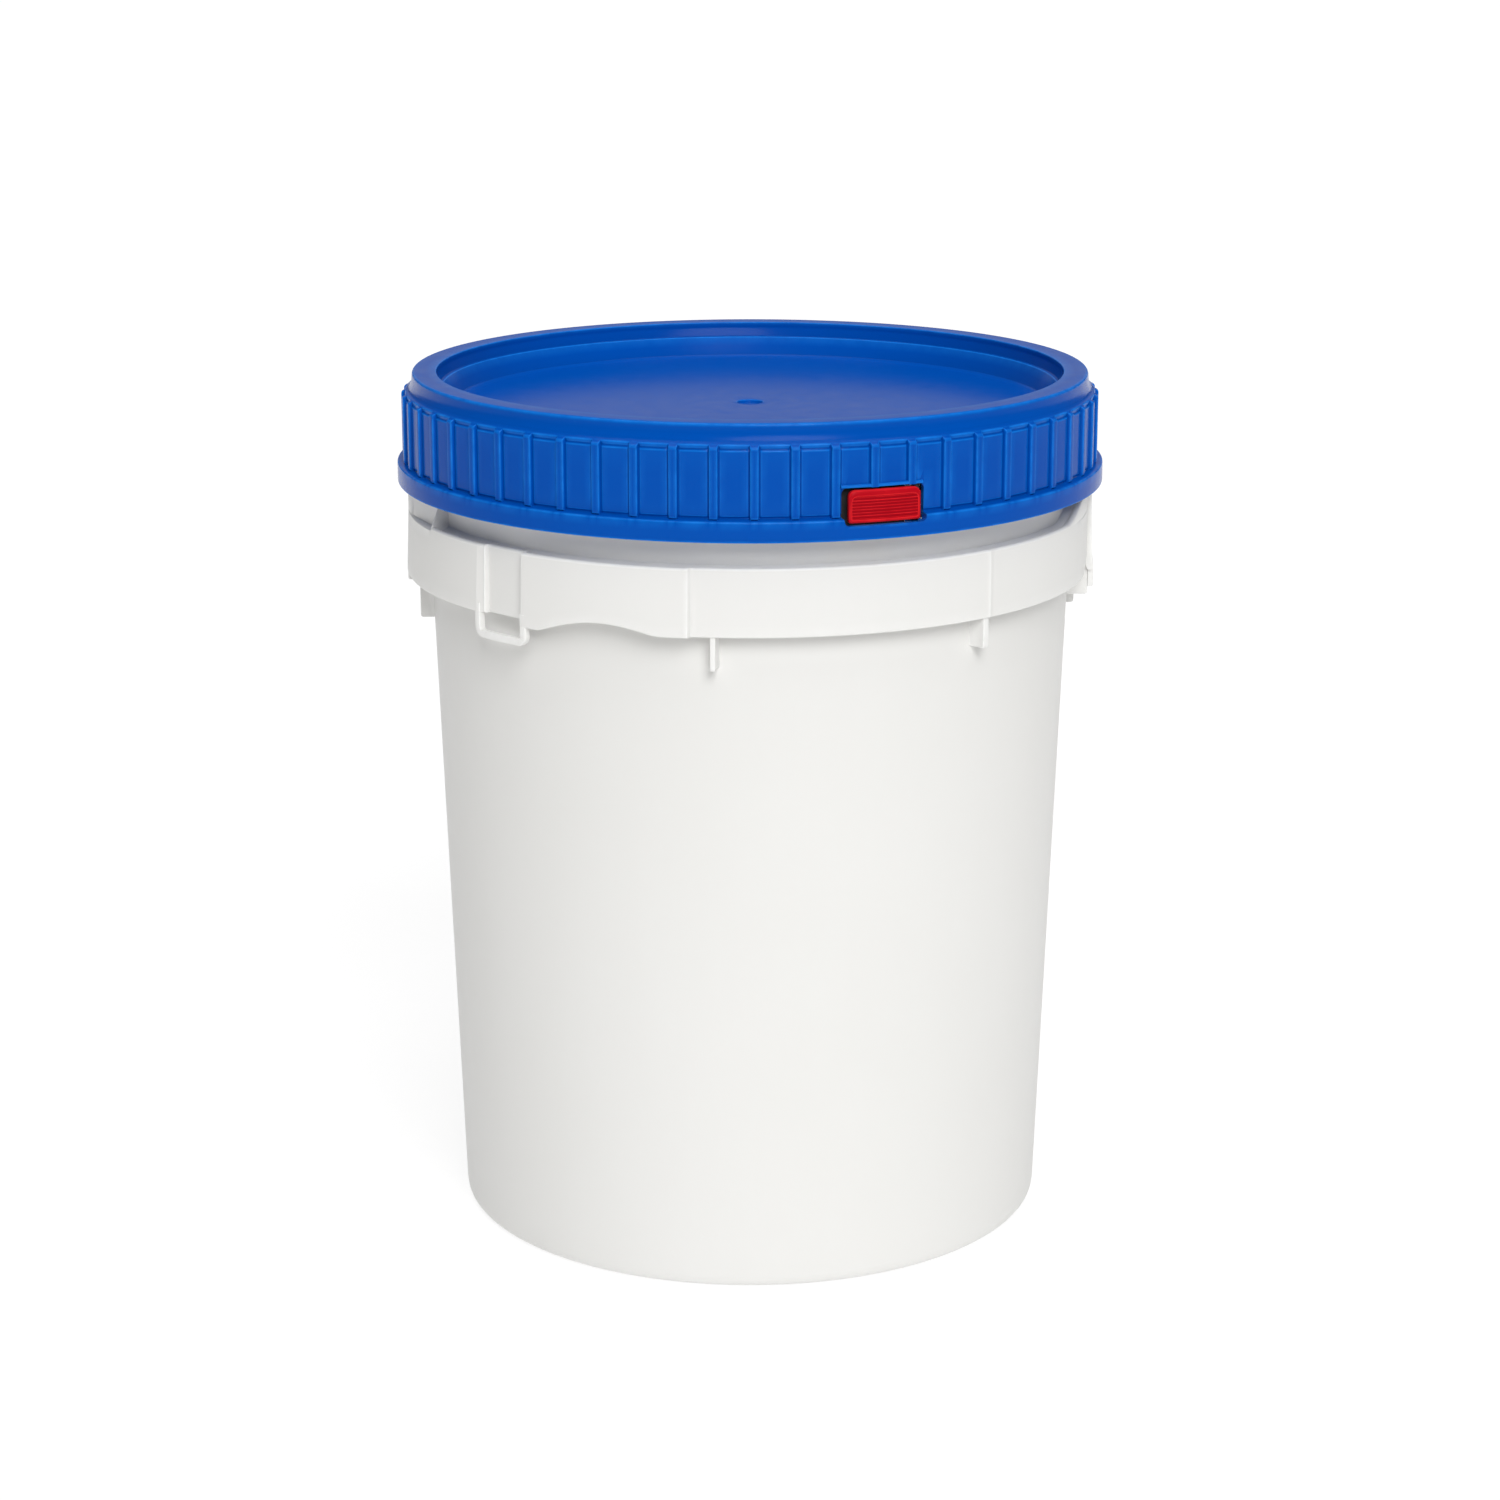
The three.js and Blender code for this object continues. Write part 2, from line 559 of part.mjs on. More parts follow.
function lid() {
  const ridges = THREAD_BEARINGS.map((turn) => {
    const start = LID_THREAD_START + turn;
    const neckLaneZ = NECK_THREAD_START_Z + (THREAD_LEAD * LID_THREAD_START) / 360;
    const lidLaneZ = neckLaneZ - LID_THREAD_BELOW;
    return threadRidge(SKIRT_IN_R, SKIRT_IN_R - LID_CREST_R, -1, lidLaneZ, start, LID_THREAD_ARC);
  });
  const window = atLatch(
    block(
      [WINDOW.left, -FLANGE_R - INTO, WINDOW.low],
      [WINDOW.right, -SKIRT_IN_R + 2 * LID_WALL, WINDOW.high],
    ),
  );
  const holeR = PIN_R + PIN_GAP;
  const pinHole = post(PIN_AT, holeR, WINDOW.low - PIN_IN_BOSS, WINDOW.high + PIN_IN_BOSS);
  const bare = cut(join(lidShell(), ...lidRibs(), ...ridges), window);
  return cut(join(bare, ...pinBosses().map(atLatch)), atLatch(pinHole));
}

// ---- Gasket: a flat ring in the lid's channel, on the pail's rim ----
function gasket() {
  const low = RIM_Z + REST_GAP;
  return turned(
    [
      [CHANNEL_IN_R + REST_GAP, low],
      [CHANNEL_OUT_R - REST_GAP, low],
      [CHANNEL_OUT_R - REST_GAP, low + GASKET_THICKNESS],
      [CHANNEL_IN_R + REST_GAP, low + GASKET_THICKNESS],
    ],
    true,
  );
}

// ---- Latch ----
const SPRING_R = PIN_R + SPRING_GAP + SPRING_WIRE_R;
const KNUCKLE_HEIGHT = LATCH_HEIGHT * 0.3;
const SPRING_LOW_Z = LATCH_Z + KNUCKLE_HEIGHT + SPRING_GAP;
const SPRING_HIGH_Z = LATCH_TOP_Z - KNUCKLE_HEIGHT - SPRING_GAP;
const SPRING_LEG_Y = PIN_Y + SPRING_R;

function latch() {
  const faceR = SKIRT_R + LATCH_PROUD;
  const backR = faceR - LATCH_THICKNESS;
  const face = arcBar(
    [
      [backR, LATCH_Z],
      [faceR - LATCH_CHAMFER, LATCH_Z],
      [faceR, LATCH_Z + LATCH_CHAMFER],
      [faceR, LATCH_TOP_Z - LATCH_CHAMFER],
      [faceR - LATCH_CHAMFER, LATCH_TOP_Z],
      [backR, LATCH_TOP_Z],
    ],
    -arcDegrees(LATCH_HALF, faceR),
    arcDegrees(LATCH_HALF, faceR),
  );
  const knuckles = post(PIN_AT, KNUCKLE_R, LATCH_Z, LATCH_TOP_Z);
  const springRoom = post(
    PIN_AT,
    SPRING_R + SPRING_WIRE_R + SPRING_ROOM,
    LATCH_Z + KNUCKLE_HEIGHT,
    LATCH_TOP_Z - KNUCKLE_HEIGHT,
  );
  const insideY = -CLEAR_OF_NECK_R;
  const pawlX = -LATCH_LENGTH / 4;
  const pawlZ = TOOTH_Z + PAWL_ABOVE_TEETH_LOW;
  const pawl = block(
    [pawlX - PAWL_WIDTH / 2, -backR - INTO, pawlZ],
    [pawlX + PAWL_WIDTH / 2, insideY, pawlZ + PAWL_HEIGHT],
  );
  const hookHigh = LATCH_TOP_Z - HOOK_UNDER_TOP;
  const slotHalf = SPRING_WIRE_R + REST_GAP;
  const hook = cut(
    block(
      [HOOK_X, -backR - INTO, TOOTH_TOP_Z + HOOK_ABOVE_TEETH],
      [HOOK_X + HOOK_WIDTH, insideY, hookHigh],
    ),
    block(
      [HOOK_X - INTO, SPRING_LEG_Y - slotHalf, SPRING_HIGH_Z - slotHalf],
      [HOOK_X + HOOK_WIDTH + INTO, SPRING_LEG_Y + slotHalf, LATCH_TOP_Z],
    ),
  );
  const pinHole = post(PIN_AT, PIN_R + PIN_GAP, LATCH_Z - INTO, LATCH_TOP_Z + INTO);
  return cut(join(face, knuckles, pawl, hook), springRoom, pinHole);
}

function latchPin() {
  const reach = PIN_IN_BOSS - REST_GAP;
  return post(PIN_AT, PIN_R, WINDOW.low - reach, WINDOW.high + reach);
}

// A torsion spring round the pin: one leg in the latch's hook, the other against the skirt.
function latchSpring() {
  const turnSteps = 12;
  const count = SPRING_TURNS * turnSteps;
  const coil = Array.from({ length: count + 1 }, (_, i) => {
    const angle = Math.PI / 2 + (i / turnSteps) * 2 * Math.PI;
    return new THREE.Vector3(
      PIN_X + SPRING_R * Math.cos(angle),
      PIN_Y + SPRING_R * Math.sin(angle),
      SPRING_LOW_Z + ((SPRING_HIGH_Z - SPRING_LOW_Z) * i) / count,
    );
  });
  const skirtLegX = [PIN_X + SPRING_SKIRT_LEG, PIN_X + SPRING_SKIRT_LEG / 2];
  const latchLegX = [PIN_X - SPRING_LATCH_LEG, HOOK_X + HOOK_WIDTH, HOOK_X + HOOK_WIDTH / 4];
  const skirtLeg = skirtLegX.map((x) => new THREE.Vector3(x, SPRING_LEG_Y, SPRING_LOW_Z));
  const latchLeg = latchLegX.map((x) => new THREE.Vector3(x, SPRING_LEG_Y, SPRING_HIGH_Z));
  const path = new THREE.CatmullRomCurve3([...skirtLeg, ...coil, ...latchLeg]);
  const wire = new THREE.Shape();
  wire.absarc(0, 0, SPRING_WIRE_R, 0, 2 * Math.PI);
  const geometry = new THREE.ExtrudeGeometry(wire, {
    extrudePath: path,
    steps: 72,
    curveSegments: 3,
    bevelEnabled: false,
  });
  return solid(geometry);
}

// ---- Scene graph ----
const MATERIALS = {
  pail: new THREE.MeshStandardMaterial({ color: 0xecebe6, roughness: 0.45, metalness: 0 }),
  lid: new THREE.MeshStandardMaterial({ color: 0x0a4bb0, roughness: 0.35, metalness: 0 }),
  gasket: new THREE.MeshStandardMaterial({ color: 0x26282b, roughness: 0.8, metalness: 0 }),
  latch: new THREE.MeshStandardMaterial({ color: 0xd0121c, roughness: 0.4, metalness: 0 }),
  steel: new THREE.MeshStandardMaterial({ color: 0xb9bcc0, roughness: 0.3, metalness: 1 }),
};

function mesh(name, manifold, material) {
  const made = new THREE.Mesh(geometryOf(manifold), material);
  made.name = name;
  return made;
}

const latchGroup = new THREE.Group();
latchGroup.rotation.z = radians(LATCH_BEARING);
latchGroup.add(
  mesh("latch_tab", latch(), MATERIALS.latch),
  mesh("latch_pin", latchPin(), MATERIALS.steel),
  mesh("latch_spring", latchSpring(), MATERIALS.steel),
);

const lidGroup = new THREE.Group();
lidGroup.add(
  mesh("lid", lid(), MATERIALS.lid),
  mesh("lid_gasket", gasket(), MATERIALS.gasket),
  latchGroup,
);

const bucket = new THREE.Group();
bucket.add(mesh("pail", pail(), MATERIALS.pail), lidGroup);

export default bucket;
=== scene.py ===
"""A screw-top pail: a white moulded pail, a blue screw lid with its gasket, and a red sprung latch.

Shapes are worked out in millimetres and become metres when a mesh is made. The origin is at the
centre of the face that the pail stands on, +Z is up, and a bearing is an angle in degrees from the
front (-Y) towards +X.
"""

import math

import bmesh
import bpy
import numpy as np
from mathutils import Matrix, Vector


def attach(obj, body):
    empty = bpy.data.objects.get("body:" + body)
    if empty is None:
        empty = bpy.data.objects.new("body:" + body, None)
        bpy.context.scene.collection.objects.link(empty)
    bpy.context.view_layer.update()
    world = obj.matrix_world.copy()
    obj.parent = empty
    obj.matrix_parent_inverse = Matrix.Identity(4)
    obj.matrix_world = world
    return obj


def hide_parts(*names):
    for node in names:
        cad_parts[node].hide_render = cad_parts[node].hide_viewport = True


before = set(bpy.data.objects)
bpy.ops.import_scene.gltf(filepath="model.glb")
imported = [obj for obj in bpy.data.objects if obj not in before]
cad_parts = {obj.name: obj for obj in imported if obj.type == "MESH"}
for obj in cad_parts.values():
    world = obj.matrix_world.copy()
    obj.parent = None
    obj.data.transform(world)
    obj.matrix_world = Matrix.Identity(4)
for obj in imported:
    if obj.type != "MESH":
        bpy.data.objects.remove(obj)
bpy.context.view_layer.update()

MM = 0.001

# ---- Pail: sizes as in the CAD ----
NECK_R = 139.6
RIM_Z = 365.7
LIP_Z = 314.5
BAND_Z = 286.1
TROUGH_DEPTH = 2.2
WEB_Z = LIP_Z - TROUGH_DEPTH
EAR_Z = 322.8
WALL_DRAFT = 0.0355
PAIL_WALL = 2.2
NECK_WALL = 2.4
NECK_STEP = 0.34
BAND_WALL = 2.4
WEB_THICKNESS = 2.4
BASE_RECESS = 2.4
FLOOR_Z = 5.0
FOOT_WIDTH = 11
THIN_R = NECK_R + 6.46
THICK_TOP_R = NECK_R + 8.2  # the raised stretches of the band widen from their top to their bottom
THICK_LOW_R = NECK_R + 9.2
RECESS_R = NECK_R + 5.6
LIP_ROUND = 1.1
COLLAR_ROOT_R = NECK_R - 1.3  # how deep the collar's ends are sunk into the neck

# Bearings of the collar's features on the front half. The back half is the front half turned round.
LOOP = (-49.4, -37.8)
THICK_BAND = (-96, LOOP[0] + 2.1)  # as far as the right-hand side of the loop's upright
PANEL = (-38.8, -9.5)
PANEL_ARCH = (-35.2, -14.9)
PANEL_DROP = 2.5
PANEL_RISE = 4.9
LEFT_GUARD_END = -64.2
GUARD_SET_BACK = 3.6  # how far the left guard's end stands back from the band's face
CORNER_START = 76  # the band's bottom corner curves up from here to its end
CORNER_RISE = 7.5
RIGHT_GUARD = (66, 77)  # where the right-hand guard climbs from the lip to its full height
LOOP_BAR = 3.1
LOOP_BASE = 3.0
LOOP_DROP = 10.3
TAB = (84.5, 90)
TAB_DROP = 7.6
SEAM = 41.75
HALF_START = -96
HALF_END = 84
GUSSETS = (
    # bearing, how far it reaches below the band, how far it stands outside the neck, thickness
    (-84, 21, 4.0, 2.6),
    (-5.9, 14.2, 5.6, 2.2),
    (41.5, 12.8, 5.6, 3.0),
    (85.2, 11.3, 7.3, 2.6),
)

# ---- Thread ----
THREAD_LEAD = 48
THREAD_DEPTH = 3
THREAD_HALF_ROOT = 2.1
THREAD_HALF_CREST = 1.2
NECK_THREAD_Z = 346.37
NECK_THREAD_ARC = 85
LID_THREAD_START = 33
LID_THREAD_ARC = 62
LID_THREAD_BELOW = 3.46
LID_CREST_R = NECK_R + 0.8
THREAD_STARTS = (0, 90, 180, 270)
THREAD_RUN_OUT = 5  # degrees over which a ridge grows and fades

# ---- Ratchet teeth on the neck ----
TOOTH_COUNT = 8
TOOTH_STEP = 2.6
TOOTH_SLOPE = 2.34
TEETH_BEFORE_PAWL = 6
TOOTH_TALL = 6.8
TOOTH_Z = 336.1
TOOTH_PLAY = 0.3

# ---- Lid ----
SKIRT_IN_R = 145.8
SKIRT_R = 148.4
FLANGE_R = 152.0
SKIRT_END_Z = 325.7
FLANGE_TOP_Z = 334.2
SHOULDER_Z = 364.3
LID_TOP_Z = 372.1
RING_R = 145.1
RING_IN_R = 134.5
CHANNEL_IN_R = 136.7
CHANNEL_OUT_R = 142.9
CHANNEL_Z = 369.4
LEDGE_R = 132.2
LEDGE_Z = 365.4
LID_FLOOR_Z = 357.0
DIMPLE_R = 5.2
DIMPLE_DEPTH = 1.8
RIB_COUNT = 58
RIB_PHASE = 0.66
RIB_PROUD = 1.3

# ---- Latch: x runs along the skirt towards the hinge end, from the latch's bearing ----
LATCH_BEARING = 20.78
LATCH_HALF = 15.5
LATCH_Z = 332.3
LATCH_TOP_Z = 345.5
LATCH_FACE_R = 151.2
LATCH_THICKNESS = 3.2
WINDOW = (-17.5, 17.7, 331.4, 346.2)  # left, right, low, high
SLEEVE = 2.4  # how far the upper knuckle stops below the top of the latch
PIN_X, PIN_Y = 14.5, -145.88
PIN_R = 1.0
KNUCKLE_R = 2.3
PIN_PAST_WINDOW = 2.1
BOSS_TALL = 3.4
BOSS_FRONT_Y = -149.4
BOSS_BACK_Y = -143.3
PAWL_X = -7.75
PAWL_HALF = 2.3
PAWL_Z = (333.3, 338.5)
PAWL_TIP_Y = -143.3
HOOK_X = (-1, 3)
HOOK_Z = (340.0, 341.1)
HOOK_TIP_Y = -144.6
SPRING_R = 1.75
SPRING_WIRE_R = 0.25
SPRING_TURNS = 4
SPRING_Z = (336.8, 341.0)
# Depths of the dark sheet that paints in the shadow behind the latch's gap.
SHADOW_SHEET_Y = (-143.9, -144.3)


# ---- Mesh helpers ----
def polar(bearing, radius, z):
    """Points from bearings, radii and heights."""
    angle = np.radians(bearing)
    return np.stack([radius * np.sin(angle), -radius * np.cos(angle), z + 0 * angle], -1)


def at_latch(points):
    """Turns points from the latch's own axes to its place on the lid."""
    angle = math.radians(LATCH_BEARING)
    c, s = math.cos(angle), math.sin(angle)
    return np.asarray(points) @ np.array([[c, s, 0], [-s, c, 0], [0, 0, 1]])


def ease(share):
    """0 to 1 with soft ends."""
    share = np.clip(share, 0, 1)
    return share * share * (3 - 2 * share)


def grid_faces(rows, columns, wrap_rows=True, wrap_columns=False):
    """Quads of a grid of points, row by row."""
    i = np.arange(rows if wrap_rows else rows - 1)[:, None]
    j = np.arange(columns if wrap_columns else columns - 1)[None, :]
    i2, j2 = (i + 1) % rows, (j + 1) % columns
    corners = [i * columns + j, i2 * columns + j, i2 * columns + j2, i * columns + j2]
    return np.stack([np.broadcast_to(c, (i.size, j.size)) for c in corners], -1).reshape(-1, 4)


def sweep(stations, section, wrap=True, closed=True):
    """A surface through section(bearing), a list of (radius, z), at each bearing."""
    sections = np.array([section(b) for b in stations], float)
    points = polar(np.asarray(stations, float)[:, None], sections[..., 0], sections[..., 1])
    rows, columns = sections.shape[:2]
    faces = [tuple(f) for f in grid_faces(rows, columns, wrap, closed)]
    if closed and not wrap:
        faces.append(tuple(range(columns))[::-1])
        faces.append(tuple((rows - 1) * columns + j for j in range(columns)))
    return points.reshape(-1, 3), faces


def turned(outline, sides=288, closed=False):
    """A turned surface from (radius, z) points, up the outside and down the inside."""
    stations = np.arange(sides) * 360 / sides
    return sweep(stations, lambda b: outline, closed=closed)


def rounded(corners, radii, steps=4):
    """An open outline with its inner corners rounded. radii has one value for each corner."""
    corners = [np.array(c, float) for c in corners]
    made = [corners[0]]
    for before, at, after, radius in zip(corners, corners[1:], corners[2:], radii[1:]):
        if not radius:
            made.append(at)
            continue
        a, b = (before - at), (after - at)
        reach = min(radius, 0.49 * np.linalg.norm(a), 0.49 * np.linalg.norm(b))
        start, end = at + a / np.linalg.norm(a) * reach, at + b / np.linalg.norm(b) * reach
        for t in np.linspace(0, 1, steps + 1):
            made.append((1 - t) ** 2 * start + 2 * t * (1 - t) * at + t * t * end)
    made.append(corners[-1])
    return [tuple(p) for p in made]


def tube(path, sideways, section):
    """A bar along path. section holds (sideways, across) offsets; sideways has a direction per point."""
    path = np.asarray(path, float)
    along = np.gradient(path, axis=0)
    along /= np.linalg.norm(along, axis=1)[:, None]
    side = np.asarray(sideways, float)
    side = side - (side * along).sum(1)[:, None] * along
    side /= np.linalg.norm(side, axis=1)[:, None]
    across = np.cross(along, side)
    section = np.asarray(section, float)
    aside, outward = section[None, :, :1], section[None, :, 1:]
    points = path[:, None] + side[:, None] * aside + across[:, None] * outward
    rows, columns = len(path), len(section)
    faces = [tuple(f) for f in grid_faces(rows, columns, False, True)]
    faces.append(tuple(range(columns))[::-1])
    faces.append(tuple((rows - 1) * columns + j for j in range(columns)))
    return points.reshape(-1, 3), faces


def circle(radius, sides):
    turns = np.linspace(0, 2 * math.pi, sides, endpoint=False)
    return np.stack([radius * np.cos(turns), radius * np.sin(turns)], -1)


def rounded_square(half_a, half_b, radius, steps=4):
    """Outline of a rectangle with rounded corners, anticlockwise."""
    points = []
    for quarter, (sa, sb) in enumerate(((1, 1), (-1, 1), (-1, -1), (1, -1))):
        for k in range(steps + 1):
            angle = math.pi / 2 * (quarter + k / steps)
            points.append(
                (
                    sa * (half_a - radius) + radius * math.cos(angle),
                    sb * (half_b - radius) + radius * math.sin(angle),
                )
            )
    return np.array(points)


def prism(outline, thickness, bevel, steps=3):
    """A flat plate with softened edges. Its outline is in x and y, and it is centred in z."""
    bm = bmesh.new()
    ring = [bm.verts.new((x, y, -thickness / 2)) for x, y in outline]
    face = bm.faces.new(ring)
    raised = bmesh.ops.extrude_face_region(bm, geom=[face])
    moved = [v for v in raised["geom"] if isinstance(v, bmesh.types.BMVert)]
    bmesh.ops.translate(bm, verts=moved, vec=(0, 0, thickness))
    bmesh.ops.recalc_face_normals(bm, faces=bm.faces)
    sharp = [e for e in bm.edges if len(e.link_faces) == 2 and e.calc_face_angle() > 0.6]
    bmesh.ops.bevel(bm, geom=sharp, offset=bevel, segments=steps, profile=0.5, affect="EDGES")
    bm.verts.index_update()
    points = np.array([v.co for v in bm.verts])
    faces = [tuple(v.index for v in f.verts) for f in bm.faces]
    bm.free()
    return points, faces


def join(*parts):
    """One list of points and faces from several."""
    points, faces, base = [], [], 0
    for part_points, part_faces in parts:
        points.append(np.asarray(part_points, float))
        faces += [tuple(int(i) + base for i in face) for face in part_faces]
        base += len(part_points)
    return np.concatenate(points), faces


def turned_by(part, degrees):
    points, faces = part
    angle = math.radians(degrees)
    c, s = math.cos(angle), math.sin(angle)
    return points @ np.array([[c, s, 0], [-s, c, 0], [0, 0, 1]]), faces


def mark_edges(mesh):
    """Stores how rounded-over (edge) or hollow (cavity) the surface is at each point."""
    count = len(mesh.vertices)
    places = np.empty(count * 3, np.float32)
    normals = np.empty(count * 3, np.float32)
    pairs = np.empty(len(mesh.edges) * 2, np.int32)
    mesh.vertices.foreach_get("co", places)
    mesh.vertices.foreach_get("normal", normals)
    mesh.edges.foreach_get("vertices", pairs)
    places, normals, pairs = places.reshape(-1, 3) / MM, normals.reshape(-1, 3), pairs.reshape(-1, 2)
    total, weight = np.zeros(count), np.zeros(count)
    for a, b in (pairs.T, pairs.T[::-1]):
        offset = places[a] - places[b]
        length = np.maximum(np.linalg.norm(offset, axis=1), 0.05)
        curve = 2 * (normals[a] * offset).sum(1) / length**2
        np.add.at(total, a, curve / length)
        np.add.at(weight, a, 1 / length)
    curve = total / np.maximum(weight, 1e-9)
    for name, value in (("edge", curve), ("cavity", -curve)):
        attribute = mesh.attributes.new(name, "FLOAT", "POINT")
        attribute.data.foreach_set("value", np.clip(value * 1.1 - 0.06, 0, 1).astype(np.float32))


def piece(name, part, material, body, node=None, cutter=None, sharp=38):
    """Makes one shown piece that rides on a body, and may stand for a CAD node."""
    points, faces = part
    mesh = bpy.data.meshes.new(name)
    mesh.from_pydata((np.asarray(points) * MM).tolist(), [], faces)
    bm = bmesh.new()
    bm.from_mesh(mesh)
    bmesh.ops.remove_doubles(bm, verts=bm.verts, dist=1e-7)
    bmesh.ops.recalc_face_normals(bm, faces=bm.faces)
    bm.to_mesh(mesh)
    bm.free()
    made = bpy.data.objects.new(name, mesh)
    bpy.context.scene.collection.objects.link(made)
    if cutter is not None:
        cut_with(made, cutter)
        mesh = made.data
    mesh.shade_smooth()
    mesh.set_sharp_from_angle(angle=math.radians(sharp))
    mark_edges(mesh)
    mesh.materials.clear()
    mesh.materials.append(material)
    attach(made, body)
    if node:
        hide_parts(node)
    return made


def cut_with(target, part):
    """Cuts a closed shape out of a piece."""
    points, faces = part
    mesh = bpy.data.meshes.new("cutter")
    mesh.from_pydata((np.asarray(points) * MM).tolist(), [], faces)
    bm = bmesh.new()
    bm.from_mesh(mesh)
    bmesh.ops.recalc_face_normals(bm, faces=bm.faces)
    bm.to_mesh(mesh)
    bm.free()
    tool = bpy.data.objects.new("cutter", mesh)
    bpy.context.scene.collection.objects.link(tool)
    modifier = target.modifiers.new("window", "BOOLEAN")
    modifier.operation = "DIFFERENCE"
    modifier.solver = "EXACT"
    modifier.object = tool
    graph = bpy.context.evaluated_depsgraph_get()
    cut = bpy.data.meshes.new_from_object(target.evaluated_get(graph))
    target.modifiers.clear()
    target.data = cut
    bpy.data.objects.remove(tool)


# ---- Materials ----
def add_node(tree, kind, inputs=None, **settings):
    made = tree.nodes.new(kind)
    for key, value in settings.items():
        setattr(made, key, value)
    for key, value in (inputs or {}).items():
        if isinstance(value, bpy.types.NodeSocket):
            tree.links.new(value, made.inputs[key])
        else:
            made.inputs[key].default_value = value
    return made


def new_material(name):
    material = bpy.data.materials.new(name)
    material.use_nodes = True
    return material, material.node_tree, material.node_tree.nodes["Principled BSDF"]


def noise(tree, scale, detail=3, stretch=(1, 1, 1), roughness=0.55, offset=0):
    """A noise value in the piece's own space. scale is in features for each metre."""
    place = add_node(tree, "ShaderNodeTexCoord")
    mapped = add_node(
        tree,
        "ShaderNodeMapping",
        {"Vector": place.outputs["Object"], "Location": (offset, offset, offset), "Scale": stretch},
    )
    inputs = {
        "Vector": mapped.outputs["Vector"],
        "Scale": scale,
        "Detail": detail,
        "Roughness": roughness,
    }
    return add_node(tree, "ShaderNodeTexNoise", inputs).outputs["Fac"]


def spread(tree, value, low, high, to_low=0.0, to_high=1.0):
    """Maps a value from one range to another and keeps it inside."""
    inputs = {"Value": value, "From Min": low, "From Max": high, "To Min": to_low, "To Max": to_high}
    return add_node(tree, "ShaderNodeMapRange", inputs).outputs["Result"]


def times(tree, a, b):
    made = add_node(tree, "ShaderNodeMath", operation="MULTIPLY")
    for socket, value in zip(made.inputs, (a, b)):
        if isinstance(value, bpy.types.NodeSocket):
            tree.links.new(value, socket)
        else:
            socket.default_value = value
    return made.outputs[0]


def mixed(tree, share, a, b):
    """Colour a going to colour b as share goes from 0 to 1."""
    made = add_node(tree, "ShaderNodeMix", data_type="RGBA")
    for socket, value in ((made.inputs[0], share), (made.inputs[6], a), (made.inputs[7], b)):
        if isinstance(value, bpy.types.NodeSocket):
            tree.links.new(value, socket)
        else:
            socket.default_value = value if isinstance(value, float) else (*value, 1)
    return made.outputs[2]


def moulded_plastic(name, colour, shade, wear_and_highlight, roughness, specular, grain, edge_wear_and_highlight, painted_hollow_shade):
    """Moulded plastic: cloudy colour, fine moulded grain, paler edges that are partly wear and partly a
    painted highlight, and painted shade darkening the hollows and corners.
    """
    material, tree, shader = new_material(name)
    cloud = spread(tree, noise(tree, 9, 2), 0.3, 0.7)
    flow = spread(tree, noise(tree, 55, 4, (1, 1, 0.12), offset=3), 0.35, 0.7)
    base = mixed(tree, times(tree, cloud, 0.5), colour, shade)
    base = mixed(tree, times(tree, flow, 0.22), base, shade)
    # Painted shade: hollows and inner corners are darkened towards half the shade tone, standing in for
    # the shade that falls there.
    cavity = add_node(tree, "ShaderNodeAttribute", attribute_name="cavity").outputs["Fac"]
    base = mixed(tree, times(tree, cavity, painted_hollow_shade), base, [0.5 * c for c in shade])
    # Paler convex edges: partly real wear, partly a painted highlight where rounded edges would catch
    # the light.
    edge = add_node(tree, "ShaderNodeAttribute", attribute_name="edge").outputs["Fac"]
    worn_and_lit_edge = times(tree, edge, spread(tree, noise(tree, 160, 4, offset=7), 0.3, 0.65, 0.55, 1.0))
    base = mixed(tree, times(tree, worn_and_lit_edge, edge_wear_and_highlight), base, wear_and_highlight)
    scuffs = spread(tree, noise(tree, 420, 2, (1, 0.08, 1), offset=11), 0.66, 0.8)
    base = mixed(tree, times(tree, scuffs, 0.05), base, wear_and_highlight)
    tree.links.new(base, shader.inputs["Base Color"])
    mottle = spread(tree, noise(tree, 120, 4, offset=5), 0.25, 0.75, roughness - 0.04, roughness + 0.05)
    tree.links.new(mottle, shader.inputs["Roughness"])
    peel = add_node(
        tree,
        "ShaderNodeBump",
        {"Height": noise(tree, 70, 2, offset=23), "Strength": 0.06 * grain, "Distance": 0.0006},
    )
    fine = add_node(
        tree,
        "ShaderNodeBump",
        {
            "Height": noise(tree, 1400, 3, offset=29),
            "Strength": 0.08 * grain,
            "Distance": 0.0001,
            "Normal": peel.outputs["Normal"],
        },
    )
    tree.links.new(fine.outputs["Normal"], shader.inputs["Normal"])
    shader.inputs["Specular IOR Level"].default_value = specular
    return material


def rubber(name):
    """Dull black rubber with a dusty bloom."""
    material, tree, shader = new_material(name)
    bloom = spread(tree, noise(tree, 60, 4), 0.4, 0.75)
    base = mixed(tree, times(tree, bloom, 0.5), (0.004, 0.004, 0.005), (0.014, 0.014, 0.016))
    edge = add_node(tree, "ShaderNodeAttribute", attribute_name="edge").outputs["Fac"]
    base = mixed(tree, times(tree, edge, 0.5), base, (0.03, 0.03, 0.032))
    tree.links.new(base, shader.inputs["Base Color"])
    tree.links.new(spread(tree, noise(tree, 300, 3), 0.3, 0.7, 0.68, 0.86), shader.inputs["Roughness"])
    bump = add_node(
        tree, "ShaderNodeBump", {"Height": noise(tree, 1100, 3), "Strength": 0.3, "Distance": 0.0002}
    )
    tree.links.new(bump.outputs["Normal"], shader.inputs["Normal"])
    return material


